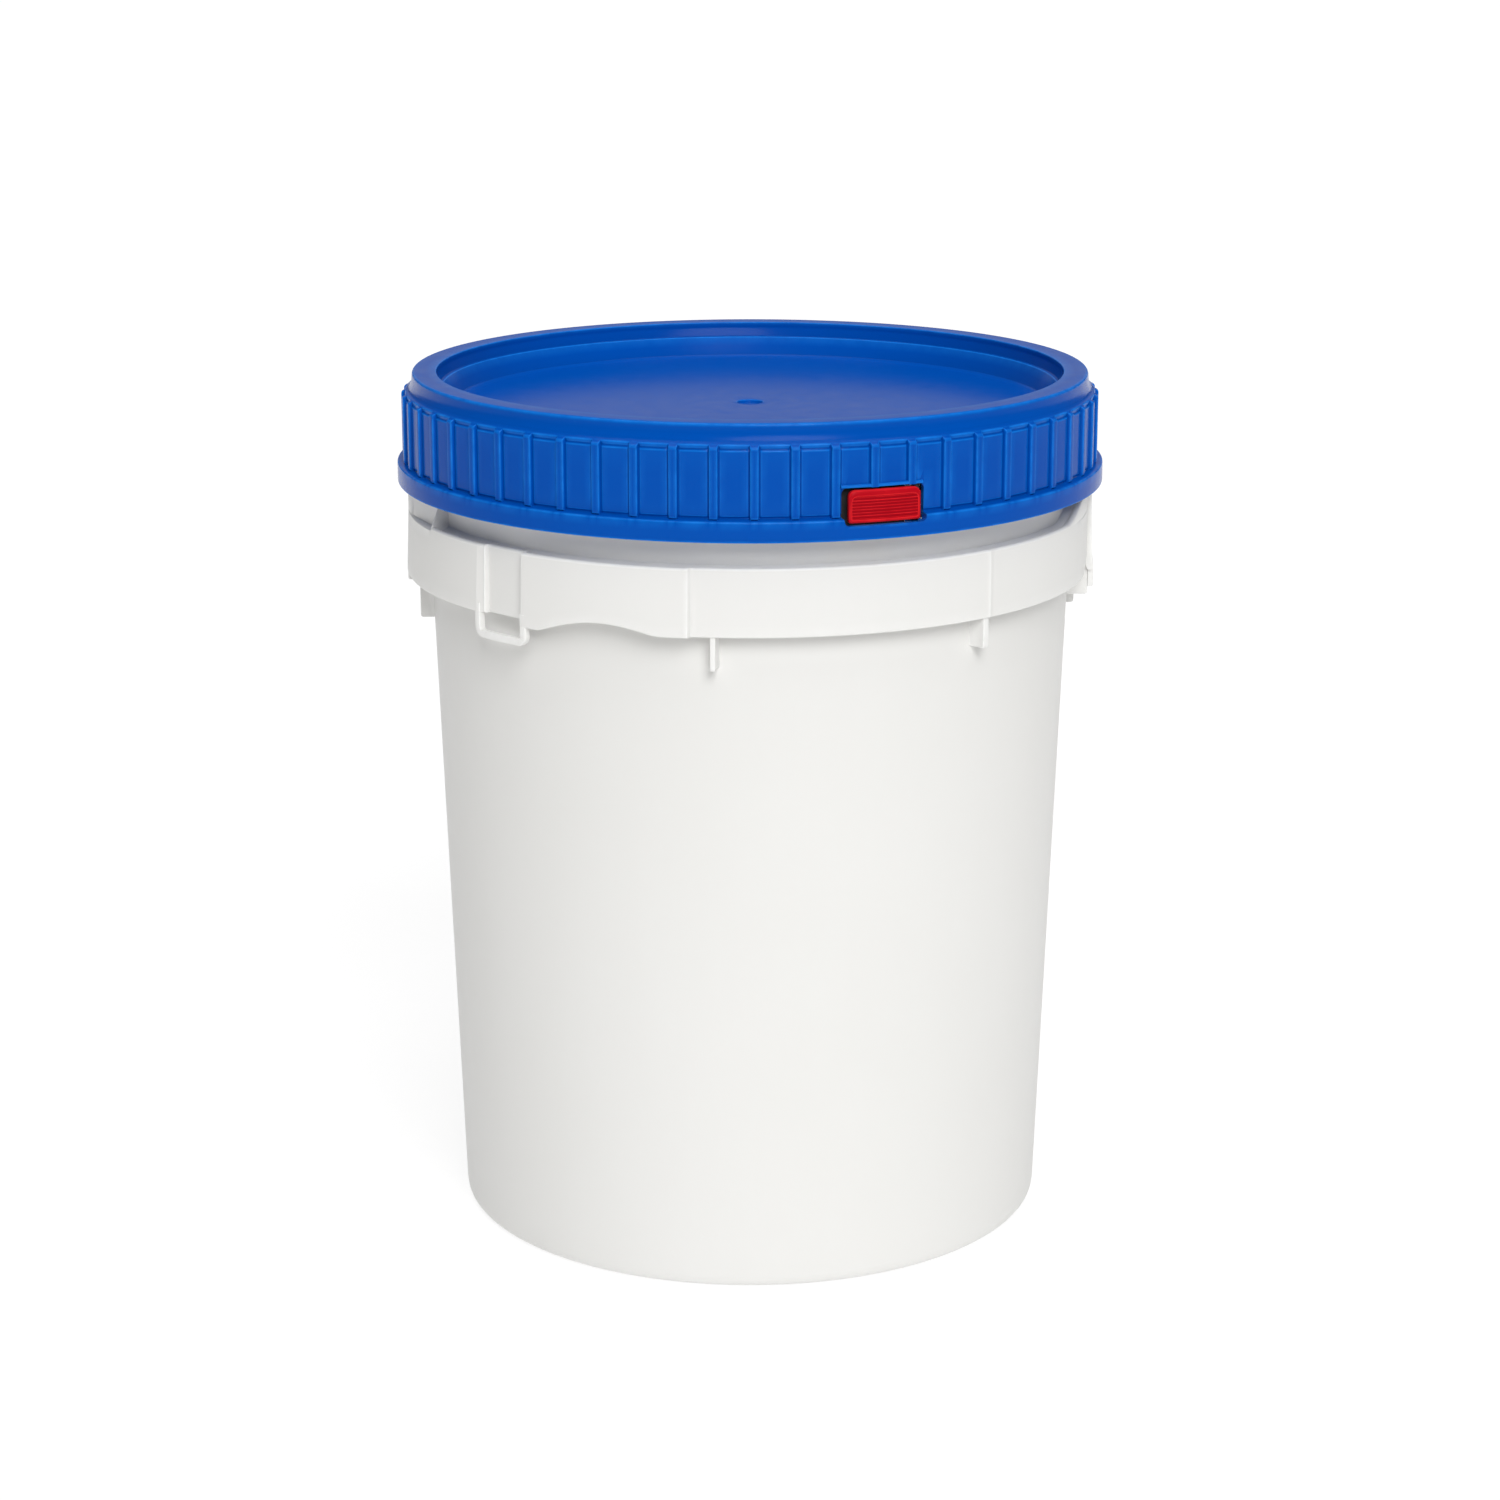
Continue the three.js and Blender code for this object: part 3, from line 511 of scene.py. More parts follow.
def drawn_steel(name):
    """Bright drawn wire with fine lines along it and a little staining."""
    material, tree, shader = new_material(name)
    stain = spread(tree, noise(tree, 500, 3), 0.5, 0.8)
    base = mixed(tree, times(tree, stain, 0.6), (0.62, 0.62, 0.63), (0.33, 0.31, 0.29))
    edge = add_node(tree, "ShaderNodeAttribute", attribute_name="edge").outputs["Fac"]
    base = mixed(tree, times(tree, edge, 0.3), base, (0.8, 0.8, 0.8))
    tree.links.new(base, shader.inputs["Base Color"])
    shader.inputs["Metallic"].default_value = 1.0
    lines = spread(tree, noise(tree, 2200, 2, (1, 1, 0.1)), 0.3, 0.7, 0.22, 0.4)
    tree.links.new(lines, shader.inputs["Roughness"])
    bump = add_node(
        tree,
        "ShaderNodeBump",
        {"Height": noise(tree, 3000, 2, (1, 1, 0.08)), "Strength": 0.15, "Distance": 0.00005},
    )
    tree.links.new(bump.outputs["Normal"], shader.inputs["Normal"])
    return material


WHITE = moulded_plastic(
    "pail_plastic",
    colour=(0.79, 0.785, 0.765),
    shade=(0.765, 0.76, 0.735),
    wear_and_highlight=(0.90, 0.9, 0.885),
    roughness=0.42,
    specular=0.25,
    grain=1.0,
    edge_wear_and_highlight=0.7,
    painted_hollow_shade=0.1,
)
BLUE = moulded_plastic(
    "lid_plastic",
    colour=(0.0, 0.076, 0.42),
    shade=(0.0, 0.068, 0.388),
    wear_and_highlight=(0.008, 0.18, 0.66),
    roughness=0.2,
    specular=0.05,
    grain=0.35,
    edge_wear_and_highlight=0.95,
    painted_hollow_shade=0.3,
)
RED = moulded_plastic(
    "latch_plastic",
    colour=(0.39, 0.0012, 0.009),
    shade=(0.34, 0.001, 0.0075),
    wear_and_highlight=(0.95, 0.025, 0.03),
    roughness=0.33,
    specular=0.04,
    grain=0.6,
    edge_wear_and_highlight=0.65,
    painted_hollow_shade=0.3,
)
BLACK = rubber("gasket_rubber")
STEEL = drawn_steel("spring_steel")


# ---- Pail ----
def wall_outer(z):
    return NECK_R - NECK_STEP - WALL_DRAFT * (LIP_Z - z)


def pail_wall():
    foot_r = wall_outer(4) - 4
    rim_in = NECK_R - NECK_WALL
    outline = rounded(
        [
            (0, BASE_RECESS),
            (foot_r - FOOT_WIDTH - BASE_RECESS, BASE_RECESS),
            (foot_r - FOOT_WIDTH, 0),
            (foot_r + 4.1, 0),
            (wall_outer(309), 309),
            (NECK_R, 309.4),
            (NECK_R, RIM_Z),
            (rim_in, RIM_Z),
            (rim_in, LIP_Z),
            (wall_outer(FLOOR_Z) - PAIL_WALL, FLOOR_Z),
            (0, FLOOR_Z),
        ],
        [0, 2, 1.5, 5.5, 0.4, 0.4, 1.2, 1.2, 6, 8],
        steps=6,
    )
    return turned(divided(outline, 12), sides=360)


def divided(outline, longest):
    """Adds points to an outline so that no step is longer than this."""
    made = [outline[0]]
    for before, after in zip(outline, outline[1:]):
        steps = max(1, math.ceil(math.dist(before, after) / longest))
        for k in range(1, steps + 1):
            made.append(tuple(b + (a - b) * k / steps for b, a in zip(before, after)))
    return made


def in_stretch(bearing, start, end, start_slope=0.22, end_slope=0.22):
    """1 inside a stretch of bearings and 0 outside, with a short slope at each end."""
    return float(ease((bearing - start) / start_slope + 0.5) * ease((end - bearing) / end_slope + 0.5))


def panel_low_z(bearing):
    """Bottom edge of the raised panel: low at the loop, then an arch, then level."""
    start, end = PANEL_ARCH
    along = min(max((bearing - start) / (end - start), 0), 1)
    return BAND_Z - PANEL_DROP * (1 - along) + PANEL_RISE * math.sin(math.pi * along)


def cove(lip_r, top_z, trough_z):
    """The hollow from the lip's inner edge down and across to the neck."""
    points = []
    for t in np.linspace(0.12, 0.9, 7):
        bowl = math.sin(math.pi * t**0.75) ** 1.3
        rim_z = top_z - 0.3 + t**0.45 * max(trough_z - top_z, 0)
        z = rim_z - bowl * (rim_z - min(rim_z - 0.3, trough_z))
        points.append((NECK_R + (lip_r - NECK_R) * (1 - t), z))
    neck_z = max(top_z, trough_z)
    return points + [(NECK_R + 0.04, neck_z - 0.1), (COLLAR_ROOT_R, neck_z + 0.4)]


def collar_section(bearing):
    """The collar's section: neck, shallow hollow, rounded lip, band and web."""
    b = (bearing - HALF_START) % 180 + HALF_START
    # The loop's upright slopes back from the raised band before it steps down to the recess.
    slope = 0.42 * min(max((b - LOOP[0] - 0.5) / 1.3, 0), 1)
    thick = (in_stretch(b, *THICK_BAND) if b > HALF_START + 1 else 1.0) * (1 - slope)
    raised = max(thick, in_stretch(b, *PANEL, end_slope=0.6))
    recess = in_stretch(b, THICK_BAND[1], PANEL[0])
    seam = 0.5 * math.exp(-(((b - SEAM) / 0.42) ** 2))
    base_top = THIN_R + recess * (RECESS_R - THIN_R) + seam
    top_r = base_top + raised * (THICK_TOP_R - base_top)
    low_r = base_top + 0.2 + raised * (THICK_LOW_R - base_top - 0.2)
    low_z = BAND_Z + in_stretch(b, *PANEL) * (panel_low_z(b) - BAND_Z)
    low_z += CORNER_RISE * float(ease((b - CORNER_START) / (HALF_END - CORNER_START)))
    left_guard = ease((LEFT_GUARD_END - b) / 0.5)
    right_guard = ease((b - RIGHT_GUARD[0]) / (RIGHT_GUARD[1] - RIGHT_GUARD[0]))
    guard = float(max(left_guard, right_guard))
    top_z = LIP_Z + guard * (EAR_Z - LIP_Z)
    inner = top_r - BAND_WALL
    set_back = GUARD_SET_BACK * float(left_guard * ease((b + 82) / 15))
    trough_z = LIP_Z - TROUGH_DEPTH + guard * (EAR_Z - 1.2 - LIP_Z + TROUGH_DEPTH)
    lip_r = top_r - set_back - LIP_ROUND
    lip = [
        (lip_r + LIP_ROUND * math.cos(a), top_z - LIP_ROUND + LIP_ROUND * math.sin(a))
        for a in np.linspace(0, math.pi / 2, 6)
    ]
    lip += [(inner - set_back + 0.6, top_z - 0.06), (inner - set_back + 0.1, top_z - 0.3)]
    crease_z = LIP_Z - 1.2
    height = crease_z - low_z
    face = [
        (low_r + (top_r - low_r) * t, low_z + 0.9 + (height - 1.3) * t)
        for t in np.linspace(0, 1, 7)
    ]
    return (
        [
            (COLLAR_ROOT_R, WEB_Z - WEB_THICKNESS),
            (inner - 1.6, WEB_Z - WEB_THICKNESS),
            (inner - 0.5, WEB_Z - WEB_THICKNESS - 0.5),
            (inner, WEB_Z - WEB_THICKNESS - 1.6),
            (low_r - BAND_WALL, low_z + 0.6),
            (low_r - BAND_WALL + 0.18, low_z + 0.18),
            (low_r - BAND_WALL + 0.6, low_z),
            (low_r - 0.9, low_z),
            (low_r - 0.3, low_z + 0.25),
            (low_r - 0.06, low_z + 0.55),
        ]
        + face
        + [(top_r - 0.25 * guard, crease_z - 0.15), (top_r - set_back, crease_z - 0.05 + 0.5 * guard)]
        + lip
        + cove(lip[-1][0], top_z, trough_z)
    )


def collar():
    edges = [*THICK_BAND, *PANEL, LOOP[0] + 0.5, LEFT_GUARD_END, SEAM, HALF_END]
    fine = [e + d for e in edges for d in (-0.9, -0.45, -0.16, -0.08, 0, 0.08, 0.16, 0.45, 0.9)]
    coarse = np.arange(HALF_START + 0.5, HALF_END, 1.0)
    half = sorted({round(b, 3) for b in [*coarse, *fine] if HALF_START <= b < HALF_END})
    stations = [b + turn for turn in (0, 180) for b in half]
    return sweep(stations, collar_section)


def on_pail(path, radius):
    """A path of (distance along the pail from the loop's left edge, z) laid round the pail."""
    path = np.asarray(path, float)
    bearings = LOOP[0] + np.degrees(path[:, 0] / radius)
    return polar(bearings, radius, path[:, 1]), polar(bearings, 1.0, 0)


def hanging_loop():
    """The bar that comes down from the band, turns under it and ends against the raised panel."""
    radius = THICK_LOW_R - 0.15 - LOOP_BAR / 2
    half = LOOP_BASE / 2
    width = math.radians(LOOP[1] - LOOP[0]) * radius
    low = BAND_Z - LOOP_DROP + half
    corners = [(half, BAND_Z + 4), (half, low), (width - half - 1.6, low), (width - half, low + 1.6)]
    corners.append((width - half, BAND_Z + 3))
    path = divided(rounded(corners, [0, 3.6, 0.5, 0.5], steps=8), 1.0)
    points, outwards = on_pail(path, radius)
    return tube(points, outwards, rounded_square(LOOP_BAR / 2, half, 0.4))


def side_tab():
    """A tab that hangs from the band at the pail's side."""
    outer, low = THICK_LOW_R + 0.5, BAND_Z - TAB_DROP
    section = rounded(
        [
            (outer - BAND_WALL, BAND_Z + 2.4),
            (outer - BAND_WALL, low),
            (outer, low),
            (outer - 0.1, BAND_Z + 2),
            (outer - 1.2, BAND_Z + 9),
        ],
        [0, 0.5, 0.8, 2],
    )
    return sweep(np.linspace(*TAB, 12), lambda bearing: section, wrap=False)


def gusset(bearing, drop, out, thickness):
    """A plate under the collar, square to the wall, with a flat foot."""
    low = BAND_Z - drop
    root = wall_outer(low) - 0.8
    out_r = NECK_R + out
    outline = rounded(
        [
            (root, low + 0.5),
            (root + 2.4, low),
            (out_r, low + 0.1),
            (out_r, BAND_Z + 9),
            (NECK_R + 0.8, WEB_Z - 3.2),
            (root, WEB_Z - 3.2),
        ],
        [0, 1.0, 1.3, 1.5, 0],
    )
    points, faces = prism(outline, thickness, 0.45)
    angle = math.radians(bearing)
    radius, z, aside = points.T
    # The root is wider than the edge, where it runs into the wall.
    aside = aside * (1 + 0.9 * ease(1 - (radius - root - 0.8) / 2.2))
    placed = np.stack(
        [
            radius * math.sin(angle) + aside * math.cos(angle),
            -radius * math.cos(angle) + aside * math.sin(angle),
            z,
        ],
        -1,
    )
    return placed, faces


def thread_ridge(root_r, crest_r, start_z, start, arc):
    """A ridge that climbs with the thread's lead, with rounded flanks and ends that run out."""
    sign = 1 if crest_r > root_r else -1
    root = root_r - sign * 0.8
    stations = np.linspace(start, start + arc, int(arc) + 1)

    def section(bearing):
        grown = ease((bearing - start) / THREAD_RUN_OUT) * ease((start + arc - bearing) / THREAD_RUN_OUT)
        crest = root_r + (crest_r - root_r) * (0.15 + 0.85 * float(grown))
        z = start_z + THREAD_LEAD * (bearing - start) / 360
        slope = THREAD_HALF_ROOT - THREAD_HALF_CREST
        outline = [
            (root, z - THREAD_HALF_ROOT),
            (root_r, z - THREAD_HALF_ROOT + 0.1),
            (crest - sign * 0.7, z - THREAD_HALF_CREST - 0.2 * slope),
            (crest - sign * 0.2, z - THREAD_HALF_CREST + 0.2),
            (crest, z - THREAD_HALF_CREST + 0.7),
            (crest, z + THREAD_HALF_CREST - 0.7),
            (crest - sign * 0.2, z + THREAD_HALF_CREST - 0.2),
            (crest - sign * 0.7, z + THREAD_HALF_CREST + 0.2 * slope),
            (root_r, z + THREAD_HALF_ROOT - 0.1),
            (root, z + THREAD_HALF_ROOT),
        ]
        return outline if sign > 0 else outline[::-1]

    return sweep(stations, section, wrap=False)


def ratchet():
    """Sawtooth teeth on the neck, in the pawl's way."""
    pawl_bearing = LATCH_BEARING + math.degrees(PAWL_X / SKIRT_R)
    pawl_end = pawl_bearing + math.degrees(PAWL_HALF / NECK_R)
    first = pawl_end + TOOTH_PLAY - TEETH_BEFORE_PAWL * TOOTH_STEP
    slope = math.radians(TOOTH_SLOPE)
    teeth = []
    for index in range(TOOTH_COUNT):
        steep = math.radians(first + index * TOOTH_STEP)
        outline = [
            (r * math.sin(a), -r * math.cos(a))
            for r, a in (
                (NECK_R - 0.8, steep),
                (NECK_R + 3.2, steep),
                (NECK_R + 3.0, steep + 0.006),
                (NECK_R - 0.8, steep + slope),
            )
        ]
        points, faces = prism(outline, TOOTH_TALL, 0.25, steps=2)
        teeth.append((points + (0, 0, TOOTH_Z), faces))
    return join(*teeth)


loop = hanging_loop()
gussets = [gusset(*row) for row in GUSSETS]
tab = side_tab()
neck_ridges = [
    thread_ridge(NECK_R, NECK_R + THREAD_DEPTH, NECK_THREAD_Z, start, NECK_THREAD_ARC)
    for start in THREAD_STARTS
]
piece("pail_wall", pail_wall(), WHITE, "bucket", node="pail")
piece("pail_collar", collar(), WHITE, "bucket")
piece("pail_loop_front", loop, WHITE, "bucket")
piece("pail_loop_back", turned_by(loop, 180), WHITE, "bucket")
piece("pail_gussets", join(*gussets, *(turned_by(g, 180) for g in gussets)), WHITE, "bucket")
piece("pail_side_tabs", join(tab, turned_by(tab, 180)), WHITE, "bucket")
piece("pail_thread", join(*neck_ridges), WHITE, "bucket")
piece("pail_ratchet", ratchet(), WHITE, "bucket")


# ---- Lid ----
# Half a rib's section: distance from its middle, share of its height, depth of the groove beside it.
RIB_SECTION = (
    (0.0, 1.0, 0.0),
    (1.15, 1.0, 0.0),
    (1.45, 0.96, 0.0),
    (1.65, 0.78, 0.0),
    (1.78, 0.35, 0.05),
    (1.95, 0.0, 0.22),
    (2.35, 0.0, 0.26),
    (2.7, 0.0, 0.08),
    (3.2, 0.0, 0.0),
    (5.6, 0.0, 0.0),
)
# The skirt from the flange to the shoulder: radius, z, and how much of the rib stands there.
SKIRT_ROWS = (
    (FLANGE_R, SKIRT_END_Z + 1.0, 0.0),
    (FLANGE_R, FLANGE_TOP_Z - 4.0, 0.0),
    (FLANGE_R, FLANGE_TOP_Z - 0.9, 0.0),
    (FLANGE_R - 0.1, FLANGE_TOP_Z - 0.5, 0.0),
    (FLANGE_R - 0.35, FLANGE_TOP_Z - 0.2, 0.0),
    (FLANGE_R - 0.8, FLANGE_TOP_Z, 0.0),
    (FLANGE_R - 2.0, FLANGE_TOP_Z + 0.08, 0.0),
    (SKIRT_R + 0.15, FLANGE_TOP_Z + 0.25, 0.25),
    (SKIRT_R - 0.35, FLANGE_TOP_Z + 0.6, 0.9),
    (SKIRT_R - 0.45, FLANGE_TOP_Z + 1.0, 1.0),
    (SKIRT_R - 0.25, FLANGE_TOP_Z + 1.4, 1.0),
    (SKIRT_R - 0.05, FLANGE_TOP_Z + 1.65, 1.0),
    (SKIRT_R, FLANGE_TOP_Z + 2.1, 1.0),
    (SKIRT_R, FLANGE_TOP_Z + 9.0, 1.0),
    (SKIRT_R, FLANGE_TOP_Z + 18.0, 1.0),
    (SKIRT_R, SHOULDER_Z - 3.2, 1.0),
    (SKIRT_R - 0.05, SHOULDER_Z - 2.7, 1.0),
    (SKIRT_R - 0.25, SHOULDER_Z - 2.4, 1.0),
    (SKIRT_R - 0.5, SHOULDER_Z - 2.1, 1.0),
    (SKIRT_R - 0.55, SHOULDER_Z - 1.75, 0.97),
    (SKIRT_R - 0.4, SHOULDER_Z - 1.4, 0.88),
    (SKIRT_R - 0.35, SHOULDER_Z - 1.05, 0.68),
    (SKIRT_R - 0.35, SHOULDER_Z - 0.8, 0.35),
    (SKIRT_R - 0.4, SHOULDER_Z - 0.5, 0.08),
    (SKIRT_R - 0.6, SHOULDER_Z - 0.2, 0.0),
    (SKIRT_R - 1.0, SHOULDER_Z + 0.05, 0.0),
)


def ribbed_skirt():
    """The ribbed band. Returns its points by station, and the stations' bearings."""
    pitch = 360 / RIB_COUNT
    offsets = [(-s, h, g) for s, h, g in RIB_SECTION[:0:-1]] + list(RIB_SECTION)
    stations, heights, grooves = [], [], []
    for rib in range(RIB_COUNT):
        for distance, height, groove in offsets:
            stations.append(RIB_PHASE + rib * pitch + math.degrees(distance / SKIRT_R))
            heights.append(height)
            grooves.append(groove)
    heights, grooves = np.array(heights)[:, None], np.array(grooves)[:, None]
    rows = np.array(SKIRT_ROWS)
    plain, z, share = rows[:, 0][None], rows[:, 1][None], rows[:, 2][None]
    top = plain + np.maximum(SKIRT_R + RIB_PROUD - plain, 0) * share
    radius = plain + (top - plain) * heights - grooves * share
    return polar(np.array(stations)[:, None], radius, z), np.array(stations)


def zip_rings(first, first_bearings, second, second_bearings):
    """Triangles between two rings of points with different spacing, both by rising bearing."""
    faces = []
    i = j = 0
    n, m = len(first), len(second)
    while i < n or j < m:
        next_i = first_bearings[(i + 1) % n] + 360 * ((i + 1) // n)
        next_j = second_bearings[(j + 1) % m] + 360 * ((j + 1) // m)
        if j >= m or (i < n and next_i <= next_j):
            faces.append((first[i % n], first[(i + 1) % n], second[j % m]))
            i += 1
        else:
            faces.append((first[i % n], second[(j + 1) % m], second[j % m]))
            j += 1
    return faces


def lid_shell():
    skirt, bearings = ribbed_skirt()
    rows, columns = skirt.shape[:2]
    skirt_faces = [tuple(f) for f in grid_faces(rows, columns, True, False)]
    crown = rounded(
        [
            (SKIRT_R - 1.7, SHOULDER_Z + 0.35),
            (SKIRT_R - 2.3, SHOULDER_Z + 1.1),
            (RING_R + 0.3, SHOULDER_Z + 3.0),
            (RING_R, SHOULDER_Z + 5.0),
            (RING_R - 0.1, LID_TOP_Z),
            (RING_IN_R, LID_TOP_Z),
            (RING_IN_R - 0.1, LID_TOP_Z - 2.4),
            (LEDGE_R + 0.9, LEDGE_Z + 0.35),
            (LEDGE_R - 0.35, LEDGE_Z + 0.2),
            (LEDGE_R - 4.9, LID_FLOOR_Z + 1.0),
            (LEDGE_R - 6.2, LID_FLOOR_Z + 0.35),
            (LEDGE_R - 7.6, LID_FLOOR_Z),
            (DIMPLE_R + 4.0, LID_FLOOR_Z),
            (DIMPLE_R + 0.5, LID_FLOOR_Z - 0.22),
            (DIMPLE_R - 0.4, LID_FLOOR_Z - DIMPLE_DEPTH),
            (0, LID_FLOOR_Z - DIMPLE_DEPTH),
        ],
        [0, 0.5, 1.2, 1.0, 1.6, 0.6, 0.6, 0.45, 0.4, 0.3, 0.3, 1.2, 1.2, 0.45, 0.5],
        steps=6,
    )
    under = rounded(
        [
            (0, LID_FLOOR_Z - 4.2),
            (6.5, LID_FLOOR_Z - 4.2),
            (8.5, LID_FLOOR_Z - 2.6),
            (LEDGE_R - 7.4, LID_FLOOR_Z - 2.6),
            (LEDGE_R - 2.8, LID_FLOOR_Z + 0.2),
            (LEDGE_R + 2.2, LEDGE_Z - 2.2),
            (CHANNEL_IN_R, LEDGE_Z - 2.2),
            (CHANNEL_IN_R, CHANNEL_Z),
            (CHANNEL_OUT_R, CHANNEL_Z),
            (CHANNEL_OUT_R, SHOULDER_Z - 1.1),
            (SKIRT_IN_R, SHOULDER_Z - 2.6),
            (SKIRT_IN_R, FLANGE_TOP_Z - 0.8),
            (FLANGE_R - 2.6, FLANGE_TOP_Z - 2.6),
            (FLANGE_R - 2.6, SKIRT_END_Z),
            (FLANGE_R, SKIRT_END_Z),
            (FLANGE_R, SKIRT_END_Z + 0.9),
        ],
        [0, 1, 1, 2, 1, 1, 0.5, 0.5, 0.5, 1, 1, 1, 1, 0.5, 0.8],
    )
    sides = 4 * RIB_COUNT
    coarse = RIB_PHASE + np.arange(sides) * 360 / sides
    parts, starts = [(skirt.reshape(-1, 3), skirt_faces)], [0]
    for outline in (crown, under):
        outline = divided(outline, 8)
        points, faces = sweep(coarse, lambda b, o=outline: o, closed=False)
        starts.append(starts[-1] + len(parts[-1][0]))
        parts.append((points, faces))
    points, faces = join(*parts)
    crown_width, under_width = (len(parts[k][0]) // sides for k in (1, 2))
    skirt_top = [i * columns + columns - 1 for i in range(rows)]
    skirt_low = [i * columns for i in range(rows)]
    crown_edge = [starts[1] + i * crown_width for i in range(sides)]
    under_edge = [starts[2] + i * under_width + under_width - 1 for i in range(sides)]
    order = np.argsort(bearings)
    ring = [skirt_top[k] for k in order]
    low_ring = [skirt_low[k] for k in order]
    faces += zip_rings(ring, bearings[order], crown_edge, coarse)
    faces += zip_rings(under_edge, coarse, low_ring, bearings[order])
    return points, faces


def latch_window():
    """The rounded hole in the skirt that the latch sits in."""
    left, right, low, high = WINDOW
    outline = rounded_square((right - left) / 2, (high - low) / 2, 2.2) + (
        (left + right) / 2,
        (low + high) / 2,
    )
    inner, outer = -SKIRT_IN_R + 5.2, -FLANGE_R - 3
    front = [(x, outer, z) for x, z in outline]
    back = [(x, inner, z) for x, z in outline]
    count = len(outline)
    faces = [(k, (k + 1) % count, count + (k + 1) % count, count + k) for k in range(count)]
    faces += [tuple(range(count))[::-1], tuple(range(count, 2 * count))]
    return at_latch(np.array(front + back)), faces


def window_sill():
    """The raised bar over the window, which the ribs above it run into."""
    left, right, _, high = WINDOW
    arc = np.degrees(np.array([left - 0.4, right - 0.8]) / SKIRT_R) + LATCH_BEARING
    stations = np.linspace(arc[0], arc[1], 40)
    outer = SKIRT_R + RIB_PROUD - 0.15

    def section(bearing):
        return [
            (SKIRT_R - 1, high + 0.02),
            (outer - 0.5, high + 0.02),
            (outer - 0.1, high + 0.2),
            (outer, high + 0.6),
            (outer - 0.2, high + 1.1),
            (outer - 0.8, high + 1.45),
            (SKIRT_R - 1, high + 1.6),
        ]

    return sweep(stations, section, wrap=False)


def box_part(low, high, bevel=0.4):
    """A block with softened edges, in the latch's axes."""
    low, high = np.array(low, float), np.array(high, float)
    outline = [(low[0], low[1]), (high[0], low[1]), (high[0], high[1]), (low[0], high[1])]
    points, faces = prism(outline, high[2] - low[2], bevel)
    return points + (0, 0, (low[2] + high[2]) / 2), faces


def post(x, y, radius, low, high, sides=40, bevel=0.3):
    ring = rounded([(0, low), (radius, low), (radius, high), (0, high)], [0, bevel, bevel])
    points, faces = turned(ring, sides=sides)
    return points + (x, y, 0), faces


def placed_at_latch(part):
    return at_latch(part[0]), part[1]


def pin_bosses():
    """Two bosses inside the skirt, over and under the window, which hold the pin's ends."""
    _, _, low, high = WINDOW
    side = KNUCKLE_R + 1
    left, right = PIN_X - side, PIN_X + side
    upper = box_part((left, -SKIRT_IN_R - 0.4, high), (right, BOSS_BACK_Y, high + BOSS_TALL))
    lower = box_part((left, BOSS_FRONT_Y, low - BOSS_TALL), (right, BOSS_BACK_Y, low))
    return join(placed_at_latch(upper), placed_at_latch(lower))


def window_shadow_sheet():
    """A dark sheet painted in as the shadow behind the gap round the latch: four strips on the inside of
    the skirt.
    """
    left, right, low, high = WINDOW
    inner, outer = SHADOW_SHEET_Y
    strips = [
        (left - 2.5, -11.2, low - 3.5, high + 1.5),
        (-11.5, 11.0, low - 3.5, low + 0.6),
        (-11.5, 11.0, high - 2.2, high + 1.5),
        (right + 0.2, right + 4.5, low - 0.1, high + 0.1),
    ]
    parts = []
    for x_low, x_high, z_low, z_high in strips:
        bearings = np.degrees(np.array([x_low, x_high]) / outer * -1) + LATCH_BEARING
        outline = [(-inner, z_low), (-outer, z_low), (-outer, z_high), (-inner, z_high)]
        section = rounded(outline, [0, 0.1, 0.1])
        parts.append(sweep(np.linspace(*bearings, 12), lambda b, o=section: o, wrap=False))
    for z_low, z_high in ((low - 0.1, LATCH_Z - 0.2), (LATCH_TOP_Z - SLEEVE + 0.2, high + 0.1)):
        parts.append(placed_at_latch(post(PIN_X, PIN_Y, PIN_R + 0.5, z_low, z_high, bevel=0.1)))
    return join(*parts)


lid_ridges = [
    thread_ridge(
        SKIRT_IN_R,
        LID_CREST_R,
        NECK_THREAD_Z + THREAD_LEAD * LID_THREAD_START / 360 - LID_THREAD_BELOW,
        LID_THREAD_START + turn,
        LID_THREAD_ARC,
    )
    for turn in THREAD_STARTS
]
piece("lid_shell", lid_shell(), BLUE, "lid", node="lid", cutter=latch_window())
piece("lid_thread", join(*lid_ridges), BLUE, "lid")
piece("lid_window_sill", window_sill(), BLUE, "lid")
piece("lid_pin_bosses", pin_bosses(), BLUE, "lid")
# A dark sheet painted in as the shadow seen through the gap round the latch.
piece("lid_window_shadow_sheet", window_shadow_sheet(), BLACK, "lid")


# ---- Gasket ----
def gasket():
    """A flat rubber ring with two sealing beads on its underside."""
    inner, outer = CHANNEL_IN_R + 0.3, CHANNEL_OUT_R - 0.3
    low, high = RIM_Z + 0.3, RIM_Z + 3.4
    beads = []
    for t in np.linspace(0, 1, 25)[1:-1]:
        beads.append((inner + (outer - inner) * t, low + 0.3 - 0.3 * abs(math.sin(2 * math.pi * t))))
    outline = [(inner, low + 0.5), (inner + 0.15, low + 0.25), *beads]
    outline += [(outer - 0.15, low + 0.25), (outer, low + 0.5), (outer, high - 0.5), (outer - 0.4, high)]
    outline += [(inner + 0.4, high), (inner, high - 0.5)]
    return turned(outline, sides=240, closed=True)


piece("gasket_ring", gasket(), BLACK, "gasket_lift", node="lid_gasket")


# ---- Latch ----
def latch_point(x, z, radius):
    """A point on the latch's curved plate: x along it, at a radius from the pail's axis."""
    angle = np.asarray(x, float) / LATCH_FACE_R
    return np.stack([radius * np.sin(angle), -radius * np.cos(angle), z + 0 * angle], -1)


TOP_BEVEL = 1.1  # how much wider the bevel over the grip is than the frame at its sides
GRIP_INSET = 1.75
GRIP_LINES = 7
GRIP_LOW = LATCH_Z + GRIP_INSET
GRIP_HIGH = LATCH_TOP_Z - GRIP_INSET - TOP_BEVEL


